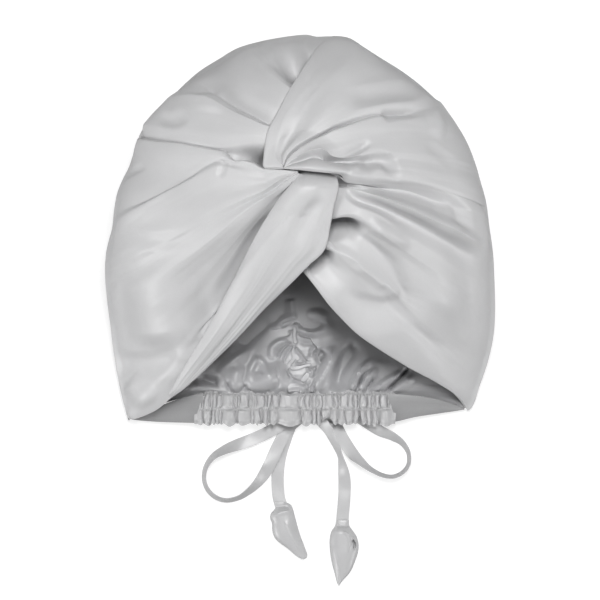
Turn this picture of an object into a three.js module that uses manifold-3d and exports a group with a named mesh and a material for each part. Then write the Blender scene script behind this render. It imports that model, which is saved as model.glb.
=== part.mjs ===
// A satin hair bonnet with a twisted turban front, lying on its back on a table.
// Millimetres. +X is the wearer's left as the front is seen, +Y the crown, +Z up from the table to the front.
import * as THREE from 'three';
import Module from 'manifold-3d';

const wasm = await Module();
wasm.setup();

// Driving dimensions of the cap
const capWidth = 280;
const capLength = 279.3;
const frontHeight = 116;
const twistSwell = 9;
const twistReach = 30;
const sideFoldHeight = 38;
const cornerFoldHeight = 5;
const clothThickness = 0.9;
const layerPitch = 1.6;
const clearance = 0.3;
const bandRoll = 3;
const twistPuff = 2.5;
const foldWidth = 10;
const foldHeight = 5;
const napeGatherRise = 2.2;
const napeGatherReach = 55;
const napeGatherPitch = 23.4;

// Driving dimensions of the nape channel and what runs in it
const channelStart = -73;
const channelEnd = 66.5;
const channelHeight = 9;
const tunnelHeight = 3;
const ruffleDepth = 10;
const ruffleWave = 1.5;
const gatherCount = 22;
const elasticWidth = 6;
const elasticThickness = 1;
const elasticEnd = -24;
const stitchLap = 8;
const buttonholeLength = 2.2;
const buttonholeEdge = 1.2;
const buttonholeThickness = 0.7;
const buttonholeSpacing = 8;

// Driving dimensions of the ribbon ties
const ribbonWidth = 9;
const ribbonThickness = 0.8;
const knotCentre = new THREE.Vector3(9, -128.5, 2.7);
const knotLength = 15;
const knotDepth = 11;
const knotHeight = 4.8;
const bowHinge = -141.2;
const tailHinge = -182.5;
const tulipLength = 41.5;
const tulipWidth = 19;
const tulipThickness = 8.5;
const leftTulipBend = THREE.MathUtils.degToRad(7);
const rightTulipBend = THREE.MathUtils.degToRad(3);

// Driving dimensions of the centre back channel
const backChannelWidth = 13;
const backChannelRise = 3.2;
const backChannelPucker = 1.1;
const backChannelStart = -36;
const backChannelGathers = 13;

const satin = new THREE.MeshStandardMaterial({ color: 0xc9c9ca, roughness: 0.38, metalness: 0 });
const satinInside = new THREE.MeshStandardMaterial({ color: 0xb9b9ba, roughness: 0.5, metalness: 0 });
const ribbonSatin = new THREE.MeshStandardMaterial({ color: 0xc4c4c5, roughness: 0.35, metalness: 0 });
const elasticWhite = new THREE.MeshStandardMaterial({ color: 0xe8e8e6, roughness: 0.8, metalness: 0 });

// Places on the cap are shares of half its width and half its length
const halfWidth = capWidth / 2;
const halfLength = capLength / 2;
const place = ([across, along]) => new THREE.Vector2(across * halfWidth, along * halfLength);
const route = (shares) => new THREE.SplineCurve(shares.map(place));
const smooth = (value) => {
  const t = Math.min(Math.max(value, 0), 1);
  return t * t * (3 - 2 * t);
};
const mix = (a, b, share) => a + (b - a) * share;

// Outline of the lying cap, from the right lower corner round the crown to the left and back along the nape
const outlineShares = [
  [0.866, -0.92], [0.928, -0.791], [0.979, -0.626], [1, -0.42], [0.985, -0.162], [0.954, 0.116],
  [0.882, 0.384], [0.753, 0.611], [0.537, 0.807], [0.342, 0.936], [0.183, 0.997], [-0.018, 1.003],
  [-0.285, 0.951], [-0.532, 0.796], [-0.758, 0.57], [-0.866, 0.363], [-0.949, 0.116], [-1, -0.214],
  [-0.974, -0.513], [-0.928, -0.791], [-0.877, -0.972], [-0.522, -0.997], [0.003, -1], [0.476, -0.992],
];
const domeCentreShares = [0, 0.131];
const twistCentreShares = [0.028, 0.281];
const domeCentre = place(domeCentreShares);
const twistCentre = place(twistCentreShares);

// The outline's reach from the centre of the dome, by angle
const outlineSteps = 720;
const outlinePoints = new THREE.CatmullRomCurve3(
  outlineShares.map((share) => new THREE.Vector3(...place(share).toArray(), 0)), true, 'centripetal',
).getPoints(outlineSteps).slice(0, outlineSteps).map(({ x, y }) => ({
  angle: Math.atan2(y - domeCentre.y, x - domeCentre.x),
  reach: Math.hypot(x - domeCentre.x, y - domeCentre.y),
})).sort((a, b) => a.angle - b.angle);

function outlineReach(angle) {
  let after = outlinePoints.findIndex((point) => point.angle > angle);
  if (after < 0) after = 0;
  const next = outlinePoints[after];
  const last = outlinePoints[(after + outlineSteps - 1) % outlineSteps];
  const turn = 2 * Math.PI;
  const span = (next.angle - last.angle + turn) % turn;
  const past = (angle - last.angle + turn) % turn;
  return mix(last.reach, next.reach, span > 0 ? past / span : 0);
}

// How far a direction lies towards the lower corners, where the side fold is pressed nearly flat
const cornerFromCrown = THREE.MathUtils.degToRad(141);
const cornerBlend = THREE.MathUtils.degToRad(50);
const nearCorner = (angle) => {
  const fromCrown = Math.abs(Math.atan2(Math.cos(angle), Math.sin(angle)));
  return smooth((fromCrown - cornerFromCrown + cornerBlend) / cornerBlend);
};

// A place as a point of a disc, whose rim is the side fold and whose radius runs evenly over the dome
function toDisc(point) {
  const dx = point.x - domeCentre.x;
  const dy = point.y - domeCentre.y;
  const angle = Math.atan2(dy, dx);
  const share = Math.min(Math.hypot(dx, dy) / outlineReach(angle), 1);
  const radius = (Math.asin(share) * 2) / Math.PI;
  return new THREE.Vector2(radius * Math.cos(angle), radius * Math.sin(angle));
}

function fromDisc(disc) {
  const angle = Math.atan2(disc.y, disc.x);
  const radius = Math.min(disc.length(), 1);
  const share = Math.sin((radius * Math.PI) / 2);
  const reach = share * outlineReach(angle);
  const x = domeCentre.x + reach * Math.cos(angle);
  const y = domeCentre.y + reach * Math.sin(angle);
  return { angle, radius, share, x, y };
}

// Heights of the front dome and of the back that lies on the table
const frontRoundness = { sides: 2.2, corners: 1.6 };
const frontFullness = { sides: 0.5, corners: 0.833 };
const backRestShare = 0.76;

const sideHeight = (angle) => mix(sideFoldHeight, cornerFoldHeight, nearCorner(angle));

function frontDome({ angle, share, x, y }) {
  const corner = nearCorner(angle);
  const side = sideHeight(angle) + clearance / 2;
  const power = mix(frontRoundness.sides, frontRoundness.corners, corner);
  const fullness = mix(frontFullness.sides, frontFullness.corners, corner);
  const fromTwist = Math.hypot(x - twistCentre.x, y - twistCentre.y) / twistReach;
  const swell = twistSwell * (1 - Math.min(fromTwist, 1) ** 2) ** 2;
  return side + (frontHeight - side) * (1 - share ** power) ** fullness + swell;
}

const hemLineShare = -0.845;
const napeLine = hemLineShare * halfLength;
const channelFloor = channelHeight - clothThickness / 2;

function backRest({ angle, share, x, y }) {
  const outward = Math.max(share - backRestShare, 0) / (1 - backRestShare);
  const side = sideHeight(angle) - clearance / 2;
  const roll = side * (1 - Math.sqrt(Math.max(1 - outward ** 2, 0)));
  const toNape = smooth((napeLine + napeGatherReach - y) / napeGatherReach);
  const gather = napeGatherRise * (1 + Math.cos((x * 2 * Math.PI) / napeGatherPitch));
  const rise = toNape * channelFloor * (1 - outward ** 2) + gather * toNape * (1 - toNape) * (1 - outward);
  return roll + rise;
}

// Folds: each follows a line of places, stands up or sinks in by its height, and fades over its width
const foldStartShare = 0.25;
const foldFinishShare = 0.35;
const foldStepsPerPoint = 4;
function foldShape({ lineShares, widthShare, heightShare }) {
  const points = route(lineShares).getSpacedPoints(lineShares.length * foldStepsPerPoint);
  const width = widthShare * foldWidth;
  const height = heightShare * foldHeight;
  return ({ x, y }) => {
    let nearest = { distance: Infinity, along: 0 };
    for (let k = 0; k + 1 < points.length; k += 1) {
      const run = points[k + 1].clone().sub(points[k]);
      const past = ((x - points[k].x) * run.x + (y - points[k].y) * run.y) / run.lengthSq();
      const part = Math.min(Math.max(past, 0), 1);
      const distance = Math.hypot(x - points[k].x - run.x * part, y - points[k].y - run.y * part);
      if (distance < nearest.distance) nearest = { distance, along: (k + part) / (points.length - 1) };
    }
    if (nearest.distance >= width) return 0;
    const fade = smooth(nearest.along / foldStartShare) * smooth((1 - nearest.along) / foldFinishShare);
    return height * fade * (1 - (nearest.distance / width) ** 2) ** 2;
  };
}
const foldEndShare = 0.14;
const foldSum = (folds) => {
  const shapes = folds.map(foldShape);
  const total = (spot) => shapes.reduce((sum, shape) => sum + shape(spot), 0);
  return (spot) => smooth((1 - spot.radius) / foldEndShare) * total(spot);
};

// A sheet spans four edges in the disc; its rows run along the inner and outer edge, its columns across
function spread(sheet) {
  const discs = (shares) => new THREE.SplineCurve(shares.map((share) => toDisc(place(share))));
  const inner = discs(sheet.innerShares);
  const outer = discs(sheet.outerShares);
  const first = discs(sheet.firstShares);
  const last = discs(sheet.lastShares);
  const corner = (a, b) => (b ? outer : inner).getPoint(a);
  return (u, v) => {
    const across = inner.getPoint(u).multiplyScalar(1 - v).add(outer.getPoint(u).multiplyScalar(v));
    const along = first.getPoint(v).multiplyScalar(1 - u).add(last.getPoint(v).multiplyScalar(u));
    const bilinear = corner(0, 0).multiplyScalar((1 - u) * (1 - v))
      .add(corner(1, 0).multiplyScalar(u * (1 - v)))
      .add(corner(0, 1).multiplyScalar((1 - u) * v))
      .add(corner(1, 1).multiplyScalar(u * v));
    const toRim = sheet.reachesRim ? mix(1, 1 / outer.getPoint(u).length(), v ** 3) : 1;
    return fromDisc(across.add(along).sub(bilinear).multiplyScalar(toRim));
  };
}

// A closed cloth between a grid of outer points and a like grid of inner points
function clothSolid(outer, inner) {
  const rows = outer.length;
  const columns = outer[0].length;
  const positions = [outer, inner].flat(2).flatMap((point) => point.toArray());
  const at = (layer, i, j) => layer * rows * columns + i * columns + j;
  const faces = [];
  const quad = (a, b, c, d) => faces.push(a, b, c, a, c, d);
  for (let i = 0; i + 1 < rows; i += 1) {
    for (let j = 0; j + 1 < columns; j += 1) {
      quad(at(0, i, j), at(0, i + 1, j), at(0, i + 1, j + 1), at(0, i, j + 1));
      quad(at(1, i, j), at(1, i, j + 1), at(1, i + 1, j + 1), at(1, i + 1, j));
    }
  }
  for (let i = 0; i + 1 < rows; i += 1) {
    quad(at(0, i + 1, 0), at(0, i, 0), at(1, i, 0), at(1, i + 1, 0));
    quad(at(0, i, columns - 1), at(0, i + 1, columns - 1), at(1, i + 1, columns - 1), at(1, i, columns - 1));
  }
  for (let j = 0; j + 1 < columns; j += 1) {
    quad(at(0, 0, j), at(0, 0, j + 1), at(1, 0, j + 1), at(1, 0, j));
    quad(at(0, rows - 1, j + 1), at(0, rows - 1, j), at(1, rows - 1, j), at(1, rows - 1, j + 1));
  }
  return outwards(positions, faces);
}

// A geometry whose faces are turned to point out, by the sign of the volume that they enclose
function outwards(positions, faces) {
  const point = (k) => new THREE.Vector3().fromArray(positions, faces[k] * 3);
  let volume = 0;
  for (let k = 0; k < faces.length; k += 3) volume += point(k).dot(point(k + 1).cross(point(k + 2)));
  const turned = volume > 0 ? faces : faces.map((_, k) => faces[k - (k % 3) + [0, 2, 1][k % 3]]);
  const geometry = new THREE.BufferGeometry();
  geometry.setAttribute('position', new THREE.Float32BufferAttribute(positions, 3));
  geometry.setIndex(turned);
  return geometry;
}

const headMiddle = new THREE.Vector3(domeCentre.x, domeCentre.y, frontHeight / 2);

// A panel: its sheet over the dome or the back, lifted over the layers that it lies on, with its folds
const normalStep = 0.001;
function panel(sheet, { surface, lift, folds = [], rows, columns }) {
  const spotAt = spread(sheet);
  const fold = foldSum(folds);
  const pointAt = (u, v) => {
    const spot = spotAt(u, v);
    return new THREE.Vector3(spot.x, spot.y, surface(spot));
  };
  const normalAt = (u, v) => {
    const along = pointAt(Math.min(u + normalStep, 1), v).sub(pointAt(Math.max(u - normalStep, 0), v));
    const across = pointAt(u, Math.min(v + normalStep, 1)).sub(pointAt(u, Math.max(v - normalStep, 0)));
    const normal = along.cross(across).normalize();
    return normal.dot(pointAt(u, v).sub(headMiddle)) < 0 ? normal.negate() : normal;
  };
  const outer = [];
  const inner = [];
  for (let i = 0; i <= rows; i += 1) {
    outer.push([]);
    inner.push([]);
    for (let j = 0; j <= columns; j += 1) {
      const [u, v] = [i / rows, j / columns];
      const spot = spotAt(u, v);
      const raise = lift(spot, u, v) + fold(spot);
      const normal = normalAt(u, v);
      outer[i].push(pointAt(u, v).addScaledVector(normal, raise));
      inner[i].push(pointAt(u, v).addScaledVector(normal, raise - clothThickness));
    }
  }
  return clothSolid(outer, inner);
}

// Layers of cloth that each front sheet lies on, counted from the crown, with one more under the twist
const twistFlatShare = 0.7;
const twistLayer = ({ x, y }) => {
  const fromTwist = Math.hypot(x - twistCentre.x, y - twistCentre.y) / twistReach;
  return 1 - smooth(fromTwist - twistFlatShare);
};
const layerShares = { crownTuck: -0.33, right: 1, left: 1, band: 2.3, twist: 4.3, twistRunOut: 2.2 };
const liftOf = (layers) => layers * layerPitch;

// Crown, left of the drape: the lowest front layer
const crownLeft = {
  innerShares: [[-0.193, 0.281], [-0.111, 0.343]],
  outerShares: [
    [-0.802, 0.492], [-0.758, 0.57], [-0.656, 0.683], [-0.532, 0.796], [-0.414, 0.879],
    [-0.285, 0.951], [-0.152, 0.982], [-0.018, 1.003], [0.095, 1.003], [0.17, 1],
  ],
  firstShares: [[-0.193, 0.281], [-0.306, 0.291], [-0.44, 0.348], [-0.614, 0.394], [-0.802, 0.492]],
  lastShares: [[-0.111, 0.343], [-0.08, 0.508], [-0.018, 0.652], [0.075, 0.786], [0.17, 1]],
  reachesRim: true,
};
const tuckShare = 0.25;
const crownFolds = [
  { lineShares: [[-0.116, 0.673], [-0.193, 0.765], [-0.28, 0.853]], widthShare: 0.9, heightShare: -0.9 },
  { lineShares: [[-0.188, 0.528], [-0.332, 0.611], [-0.496, 0.698]], widthShare: 0.9, heightShare: -0.9 },
  {
    lineShares: [[-0.193, 0.441], [-0.306, 0.415], [-0.434, 0.405], [-0.614, 0.436], [-0.789, 0.477]],
    widthShare: 1, heightShare: -1,
  },
  { lineShares: [[-0.193, 0.363], [-0.254, 0.363], [-0.306, 0.343]], widthShare: 1.1, heightShare: -1.2 },
];

// Right front: one sheet from the crown, drawn in at the twist, down to the right edge of the face opening
const rightFront = {
  innerShares: [
    [0.177, 0.992], [0.003, 0.822], [-0.085, 0.693], [-0.15, 0.536], [-0.179, 0.405], [-0.183, 0.312],
    [-0.077, 0.302], [0.023, 0.296], [0.116, 0.291], [0.198, 0.276], [0.239, 0.24], [0.172, 0.188],
    [0.131, 0.085], [0.111, -0.008], [0.075, -0.09], [0.018, -0.173], [0.005, -0.224],
  ],
  outerShares: [
    [0.188, 0.997], [0.27, 0.966], [0.373, 0.92], [0.476, 0.853], [0.578, 0.776], [0.671, 0.698],
    [0.753, 0.611], [0.825, 0.497], [0.887, 0.374], [0.928, 0.24], [0.954, 0.116], [0.974, -0.049],
    [0.995, -0.235], [1, -0.42], [0.979, -0.626], [0.928, -0.791], [0.866, -0.92],
  ],
  firstShares: [[0.177, 0.992], [0.188, 0.997]],
  lastShares: [
    [0.005, -0.224], [0.095, -0.319], [0.188, -0.425], [0.29, -0.528], [0.398, -0.606],
    [0.563, -0.709], [0.707, -0.786], [0.825, -0.869], [0.866, -0.92],
  ],
  reachesRim: true,
};
const rightFolds = [
  {
    lineShares: [
      [-0.042, 0.352], [0.011, 0.405], [0.09, 0.456], [0.181, 0.509],
      [0.3, 0.555], [0.414, 0.582], [0.542, 0.601],
    ],
    widthShare: 0.9, heightShare: -0.8,
  },
  {
    lineShares: [[0.095, 0.389], [0.183, 0.425], [0.27, 0.436], [0.342, 0.43]],
    widthShare: 0.9, heightShare: 0.7,
  },
  {
    lineShares: [[0.27, 0.271], [0.321, 0.322], [0.383, 0.353], [0.434, 0.332]],
    widthShare: 0.8, heightShare: 0.8,
  },
  {
    lineShares: [[0.26, 0.224], [0.29, 0.193], [0.352, 0.16], [0.445, 0.116], [0.542, 0.07], [0.64, 0.023]],
    widthShare: 1, heightShare: 1.3,
  },
  {
    lineShares: [[0.177, 0.075], [0.239, 0.101], [0.301, 0.085], [0.352, 0.044]],
    widthShare: 0.9, heightShare: 1,
  },
  { lineShares: [[0.167, 0.013], [0.229, 0.028], [0.301, 0.013]], widthShare: 1.1, heightShare: -1.4 },
  {
    lineShares: [[0.157, -0.101], [0.247, -0.142], [0.346, -0.207], [0.411, -0.26], [0.455, -0.317]],
    widthShare: 1, heightShare: 1.3,
  },
  { lineShares: [[0.069, -0.183], [0.116, -0.142], [0.177, -0.173]], widthShare: 0.9, heightShare: -1 },
];

// Left front: gathered to a point in the twist and spread over the left side
const leftFront = {
  innerShares: [[0.023, 0.299], [0.018, 0.271]],
  outerShares: [
    [-0.81, 0.477], [-0.866, 0.363], [-0.913, 0.24], [-0.949, 0.116], [-0.979, -0.049], [-1, -0.214],
    [-0.995, -0.358], [-0.974, -0.513], [-0.954, -0.657], [-0.928, -0.791], [-0.877, -0.972],
  ],
  firstShares: [
    [0.023, 0.299], [-0.08, 0.304], [-0.186, 0.315], [-0.278, 0.345], [-0.326, 0.348],
    [-0.434, 0.399], [-0.614, 0.436], [-0.81, 0.477],
  ],
  lastShares: [
    [0.018, 0.271], [-0.049, 0.178], [-0.141, 0.044], [-0.244, -0.162], [-0.388, -0.43],
    [-0.532, -0.678], [-0.656, -0.853], [-0.769, -0.92], [-0.877, -0.972],
  ],
  reachesRim: true,
};
const leftFolds = [
  {
    lineShares: [
      [-0.085, 0.224], [-0.193, 0.152], [-0.306, 0.08], [-0.512, -0.008],
      [-0.692, -0.049], [-0.897, -0.023],
    ],
    widthShare: 1.1, heightShare: -1.1,
  },
  {
    lineShares: [[-0.193, 0.262], [-0.306, 0.28], [-0.434, 0.28], [-0.589, 0.22]],
    widthShare: 1.4, heightShare: 0.6,
  },
  {
    lineShares: [[-0.22, 0.1], [-0.37, -0.05], [-0.5, -0.22], [-0.62, -0.46]],
    widthShare: 1.5, heightShare: 0.6,
  },
];

// The band that comes out of the twist and edges the left side of the face opening
const edgeBand = {
  innerShares: [
    [0.021, 0.322], [-0.042, 0.233], [-0.127, 0.121], [-0.193, 0.029], [-0.251, -0.082], [-0.304, -0.181],
    [-0.356, -0.299], [-0.409, -0.405], [-0.481, -0.523], [-0.558, -0.642], [-0.625, -0.755], [-0.686, -0.858],
  ],
  outerShares: [
    [0.198, 0.322], [0.194, 0.227], [0.172, 0.116], [0.152, -0.008], [0.121, -0.116], [0.05, -0.186],
    [-0.023, -0.255], [-0.141, -0.369], [-0.265, -0.497], [-0.398, -0.631], [-0.537, -0.76], [-0.676, -0.871],
  ],
  firstShares: [[0.021, 0.322], [0.198, 0.322]],
  lastShares: [[-0.686, -0.858], [-0.676, -0.871]],
};

// The fold over the top of the twist, under which the band starts
const twistFold = {
  innerShares: [
    [-0.064, 0.317], [-0.015, 0.363], [0.049, 0.389], [0.116, 0.394],
    [0.188, 0.379], [0.26, 0.353], [0.321, 0.322],
  ],
  outerShares: [
    [-0.059, 0.303], [0.003, 0.298], [0.064, 0.295], [0.131, 0.288],
    [0.193, 0.278], [0.239, 0.255], [0.301, 0.271],
  ],
  firstShares: [[-0.064, 0.317], [-0.059, 0.303]],
  lastShares: [[0.321, 0.322], [0.301, 0.271]],
};
const twistRunOutShare = 0.76;
const bandHeadShare = 0.045;
const bandRiseShare = 0.135;

// The two halves of the back, seamed down the middle
const backSeamShare = -0.006;
const seamTopShare = 0.92;
const seamSteps = 8;
const backHalf = (side) => {
  const outer = {
    left: [
      [-0.018, 1.003], [-0.285, 0.951], [-0.532, 0.796], [-0.758, 0.57], [-0.913, 0.24],
      [-0.985, -0.07], [-0.995, -0.358], [-0.959, -0.626], [-0.877, -0.972],
    ],
    right: [
      [0.013, 1.003], [0.342, 0.936], [0.537, 0.807], [0.753, 0.611], [0.918, 0.281],
      [0.979, -0.101], [1, -0.42], [0.964, -0.678], [0.866, -0.92],
    ],
  }[side];
  const hem = {
    left: [-0.254, -0.44, -0.54].map((across) => [across, hemLineShare])
      .concat([[-0.66, -0.89], [-0.76, -0.935], [-0.877, -0.972]]),
    right: [0.234, 0.4, 0.5].map((across) => [across, hemLineShare])
      .concat([[0.6, -0.866], [0.733, -0.894], [0.866, -0.92]]),
  }[side];
  const seam = backSeamShare + ((side === 'left' ? -1 : 1) * clearance) / 2 / halfWidth;
  const innerShares = Array.from(
    { length: seamSteps + 1 }, (_, k) => [seam, mix(seamTopShare, hemLineShare, k / seamSteps)],
  );
  const crownTip = [seam, outer[0][1]];
  return {
    innerShares,
    outerShares: [crownTip, ...outer.slice(1)],
    firstShares: [innerShares[0], crownTip],
    lastShares: [[seam, hemLineShare], ...hem],
    reachesRim: true,
  };
};

const backLeft = backHalf('left');
const backRight = backHalf('right');

// A closed solid lofted through rings of points, with flat ends
function loft(rings) {
  const count = rings[0].length;
  const positions = rings.flat().flatMap((point) => point.toArray());
  const faces = [];
  for (let i = 0; i + 1 < rings.length; i += 1) {
    for (let j = 0; j < count; j += 1) {
      const a = i * count + j;
      const b = i * count + ((j + 1) % count);
      faces.push(a, b, b + count, a, b + count, a + count);
    }
  }
  const lastRing = (rings.length - 1) * count;
  capFaces(rings[0]).forEach(([a, b, c]) => faces.push(a, c, b));
  capFaces(rings.at(-1)).forEach((face) => faces.push(...face.map((index) => lastRing + index)));
  return outwards(positions, faces);
}

// Triangles that close a flat ring of points, which may be a hollow outline
function capFaces(ring) {
  const normal = new THREE.Vector3();
  ring.forEach((point, k) => normal.add(point.clone().cross(ring[(k + 1) % ring.length])));
  normal.normalize();
  const side = ring[1].clone().sub(ring[0]).normalize();
  const up = normal.clone().cross(side);
  const outline = ring.map((point) => new THREE.Vector2(point.dot(side), point.dot(up)));
  return THREE.ShapeUtils.triangulateShape(outline, []);
}

// Cuts and joins of closed geometries
function toManifold(geometry) {
  const { position } = geometry.attributes;
  return new wasm.Manifold(new wasm.Mesh({
    numProp: 3,
    vertProperties: Float32Array.from(position.array),
    triVerts: Uint32Array.from(geometry.index.array),
  }));
}
function toGeometry(manifold) {
  const mesh = manifold.getMesh();
  const geometry = new THREE.BufferGeometry();
  geometry.setAttribute('position', new THREE.BufferAttribute(mesh.vertProperties, 3));
  geometry.setIndex(new THREE.BufferAttribute(mesh.triVerts, 1));
  return geometry;
}
function block(low, high) {
  return loft([low.x, high.x].map((x) => [
    new THREE.Vector3(x, low.y, low.z), new THREE.Vector3(x, high.y, low.z),
    new THREE.Vector3(x, high.y, high.z), new THREE.Vector3(x, low.y, high.z),
  ]));
}
const cut = (geometry, ...tools) => toGeometry(
  tools.reduce((body, tool) => body.subtract(toManifold(tool)), toManifold(geometry)),
);
const join = (...geometries) => toGeometry(
  geometries.map(toManifold).reduce((body, next) => body.add(next)),
);

// Nape channel: the hem turned up and stitched twice, drawn together into gathers, with its ruffle below
const channelWidth = ribbonWidth + 2 * (clearance + clothThickness);
const channelTop = napeLine - clearance;
const channelFoot = channelTop - channelWidth;
const channelMiddle = (channelTop + channelFoot) / 2;
const channelHalf = tunnelHeight / 2 + clothThickness;
const ruffleEnd = channelFoot - ruffleDepth;
const shoulderShare = 0.43;
const shoulder = shoulderShare * channelWidth;
const stationsPerGather = 3;
const endFadeShare = 0.08;
const gatherUnevenShare = 0.33;
const gatherUnevenTurn = THREE.MathUtils.degToRad(137.5);

function channelRing(x, wave) {
  const share = (x - channelStart) / (channelEnd - channelStart);
  const ripple = ruffleWave * wave * smooth(share / endFadeShare) * smooth((1 - share) / endFadeShare);
  const puff = channelHalf + Math.max(ripple, 0);
  const ruffleMiddle = (channelFoot + ruffleEnd) / 2;
  return [
    [channelTop, -clothThickness], [channelTop, clothThickness],
    [channelMiddle + shoulder, puff], [channelMiddle - shoulder, puff],
    [channelFoot, clothThickness + ripple / 2], [ruffleMiddle, clothThickness + ripple],
    [ruffleEnd, clothThickness / 2 + ripple], [ruffleEnd, -clothThickness / 2 + ripple],
    [ruffleMiddle, -clothThickness + ripple], [channelFoot, -clothThickness],
    [channelMiddle - shoulder, -channelHalf], [channelMiddle + shoulder, -channelHalf],
  ].map(([y, z]) => new THREE.Vector3(x, y, channelHeight + z));
}

// Buttonholes through the channel's outer wall, either side of the knot
const buttonholes = [-1, 1].map((side) => knotCentre.x + (side * buttonholeSpacing) / 2);
const slotHalf = ribbonWidth / 2 + clearance;
const slotBlock = (x, margin, low, high) => block(
  new THREE.Vector3(x - buttonholeLength / 2 - margin, channelMiddle - slotHalf - margin, low),
  new THREE.Vector3(x + buttonholeLength / 2 + margin, channelMiddle + slotHalf + margin, high),
);
const buttonholeTop = channelHeight - channelHalf - clearance;
const buttonholeFoot = buttonholeTop - buttonholeThickness;

function napeChannel() {
  const stations = gatherCount * stationsPerGather;
  const rings = Array.from({ length: stations + 1 }, (_, k) => {
    const gather = Math.floor(k / stationsPerGather);
    const swell = 1 + gatherUnevenShare * Math.sin(gather * gatherUnevenTurn);
    const wave = k % stationsPerGather === 1 ? swell : -swell / 2;
    return channelRing(mix(channelStart, channelEnd, k / stations), wave);
  });
  const tunnel = block(
    new THREE.Vector3(channelStart - channelWidth, channelMiddle - slotHalf, channelHeight - tunnelHeight / 2),
    new THREE.Vector3(channelEnd + channelWidth, channelMiddle + slotHalf, channelHeight + tunnelHeight / 2),
  );
  return cut(loft(rings), tunnel, ...buttonholes.map((x) => slotBlock(x, 0, buttonholeFoot, channelHeight)));
}

const buttonholeEdging = (x) => cut(
  slotBlock(x, buttonholeEdge, buttonholeFoot, buttonholeTop),
  slotBlock(x, 0, buttonholeFoot - clothThickness, buttonholeTop + clothThickness),
);

// The plain hem beyond each end of the channel, doubled, tapering out to the lower corner
const hemSteps = 10;
const hemSamples = 200;
const hemReachShare = 0.96;
const hemRowShares = [0, 0.5, 1];
function plainHem(half, side) {
  const start = side < 0 ? channelStart : channelEnd;
  const spotAt = spread(half);
  const edge = Array.from({ length: hemSamples + 1 }, (_, k) => spotAt(1, k / hemSamples))
    .filter(({ x }) => side * (x - start) > clearance);
  const corner = edge.at(-1);
  const upper = Array.from({ length: hemSteps + 1 }, (_, k) => {
    const share = (k / hemSteps) * hemReachShare;
    const spot = edge[Math.round(share * (edge.length - 1))];
    const foot = mix(ruffleEnd, corner.y, share) - clothThickness;
    const level = backRest(spot) + clothThickness;
    const head = spot.y - 2 * clearance;
    return hemRowShares.map((part) => new THREE.Vector3(spot.x, mix(head, foot, part), level));
  });
  const lower = upper.map((row) => row.map((point) => point.clone().setZ(point.z - 2 * clothThickness)));
  return clothSolid(lower, upper);
}

// Elastic and ribbon in the channel: strips drawn in their long section, as wide as they are
function longStrip(corners, width) {
  const outline = new THREE.Shape(corners.map(([x, z]) => new THREE.Vector2(x, z)));
  const geometry = new THREE.ExtrudeGeometry(outline, { depth: width, bevelEnabled: false });
  geometry.rotateX(Math.PI / 2);
  geometry.translate(0, channelMiddle + width / 2, 0);
  return geometry;
}
const elasticLevel = channelHeight + (ribbonThickness + clearance) / 2;
const ribbonLevel = channelHeight - (elasticThickness + clearance) / 2;
const elasticEnds = { left: elasticEnd, right: 2 * knotCentre.x - elasticEnd };

function napeElastic(side) {
  const outer = side === 'left' ? channelStart + clothThickness : channelEnd - clothThickness;
  const inner = elasticEnds[side];
  const half = elasticThickness / 2;
  return longStrip([
    [outer, elasticLevel + half], [outer, elasticLevel - half],
    [inner, elasticLevel - half], [inner, elasticLevel + half],
  ], elasticWidth);
}

function drawcord(side) {
  const towards = side === 'left' ? 1 : -1;
  const start = elasticEnds[side] - towards * stitchLap;
  const hole = buttonholes[side === 'left' ? 0 : 1];
  const half = ribbonThickness / 2;
  const foot = knotCentre.z + knotHeight / 2 + clearance;
  const near = hole - towards * half;
  const far = hole + towards * half;
  return longStrip([
    [start, ribbonLevel + half], [far, ribbonLevel + half], [far, foot],
    [near, foot], [near, ribbonLevel - half], [start, ribbonLevel - half],
  ], ribbonWidth);
}

// Centre back channel: an arched strip over the seam inside the back, drawn up by the elastic under it
const backSeam = backSeamShare * halfWidth;
const backChannelEnd = napeLine + clothThickness;
const seamSpot = (y) => fromDisc(toDisc(new THREE.Vector2(backSeam, y)));
const seamLevel = (y) => backRest(seamSpot(y)) + clothThickness + clearance;

const archShares = [[-1, 0], [-0.85, 0.7], [-0.4, 1], [0.4, 1], [0.85, 0.7], [1, 0]];

function centreChannel() {
  const stations = backChannelGathers * stationsPerGather;
  const half = backChannelWidth / 2;
  return loft(Array.from({ length: stations + 1 }, (_, k) => {
    const y = mix(backChannelStart, backChannelEnd, k / stations);
    const rise = backChannelRise + (k % stationsPerGather === 1 ? backChannelPucker : 0);
    const arch = (wall) => archShares.map(([across, up]) => new THREE.Vector3(
      backSeam + across * (half - wall), y, seamLevel(y) + up * (rise - wall),
    ));
    return [...arch(0), ...arch(clothThickness).reverse()];
  }));
}

function centreElastic() {
  const stations = backChannelGathers * 2;
  const half = elasticWidth / 2;
  return loft(Array.from({ length: stations + 1 }, (_, k) => {
    const y = mix(backChannelStart, backChannelEnd, k / stations);
    return [[-half, 0], [half, 0], [half, elasticThickness], [-half, elasticThickness]]
      .map(([x, z]) => new THREE.Vector3(backSeam + x, y, seamLevel(y) + z));
  }));
}

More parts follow.
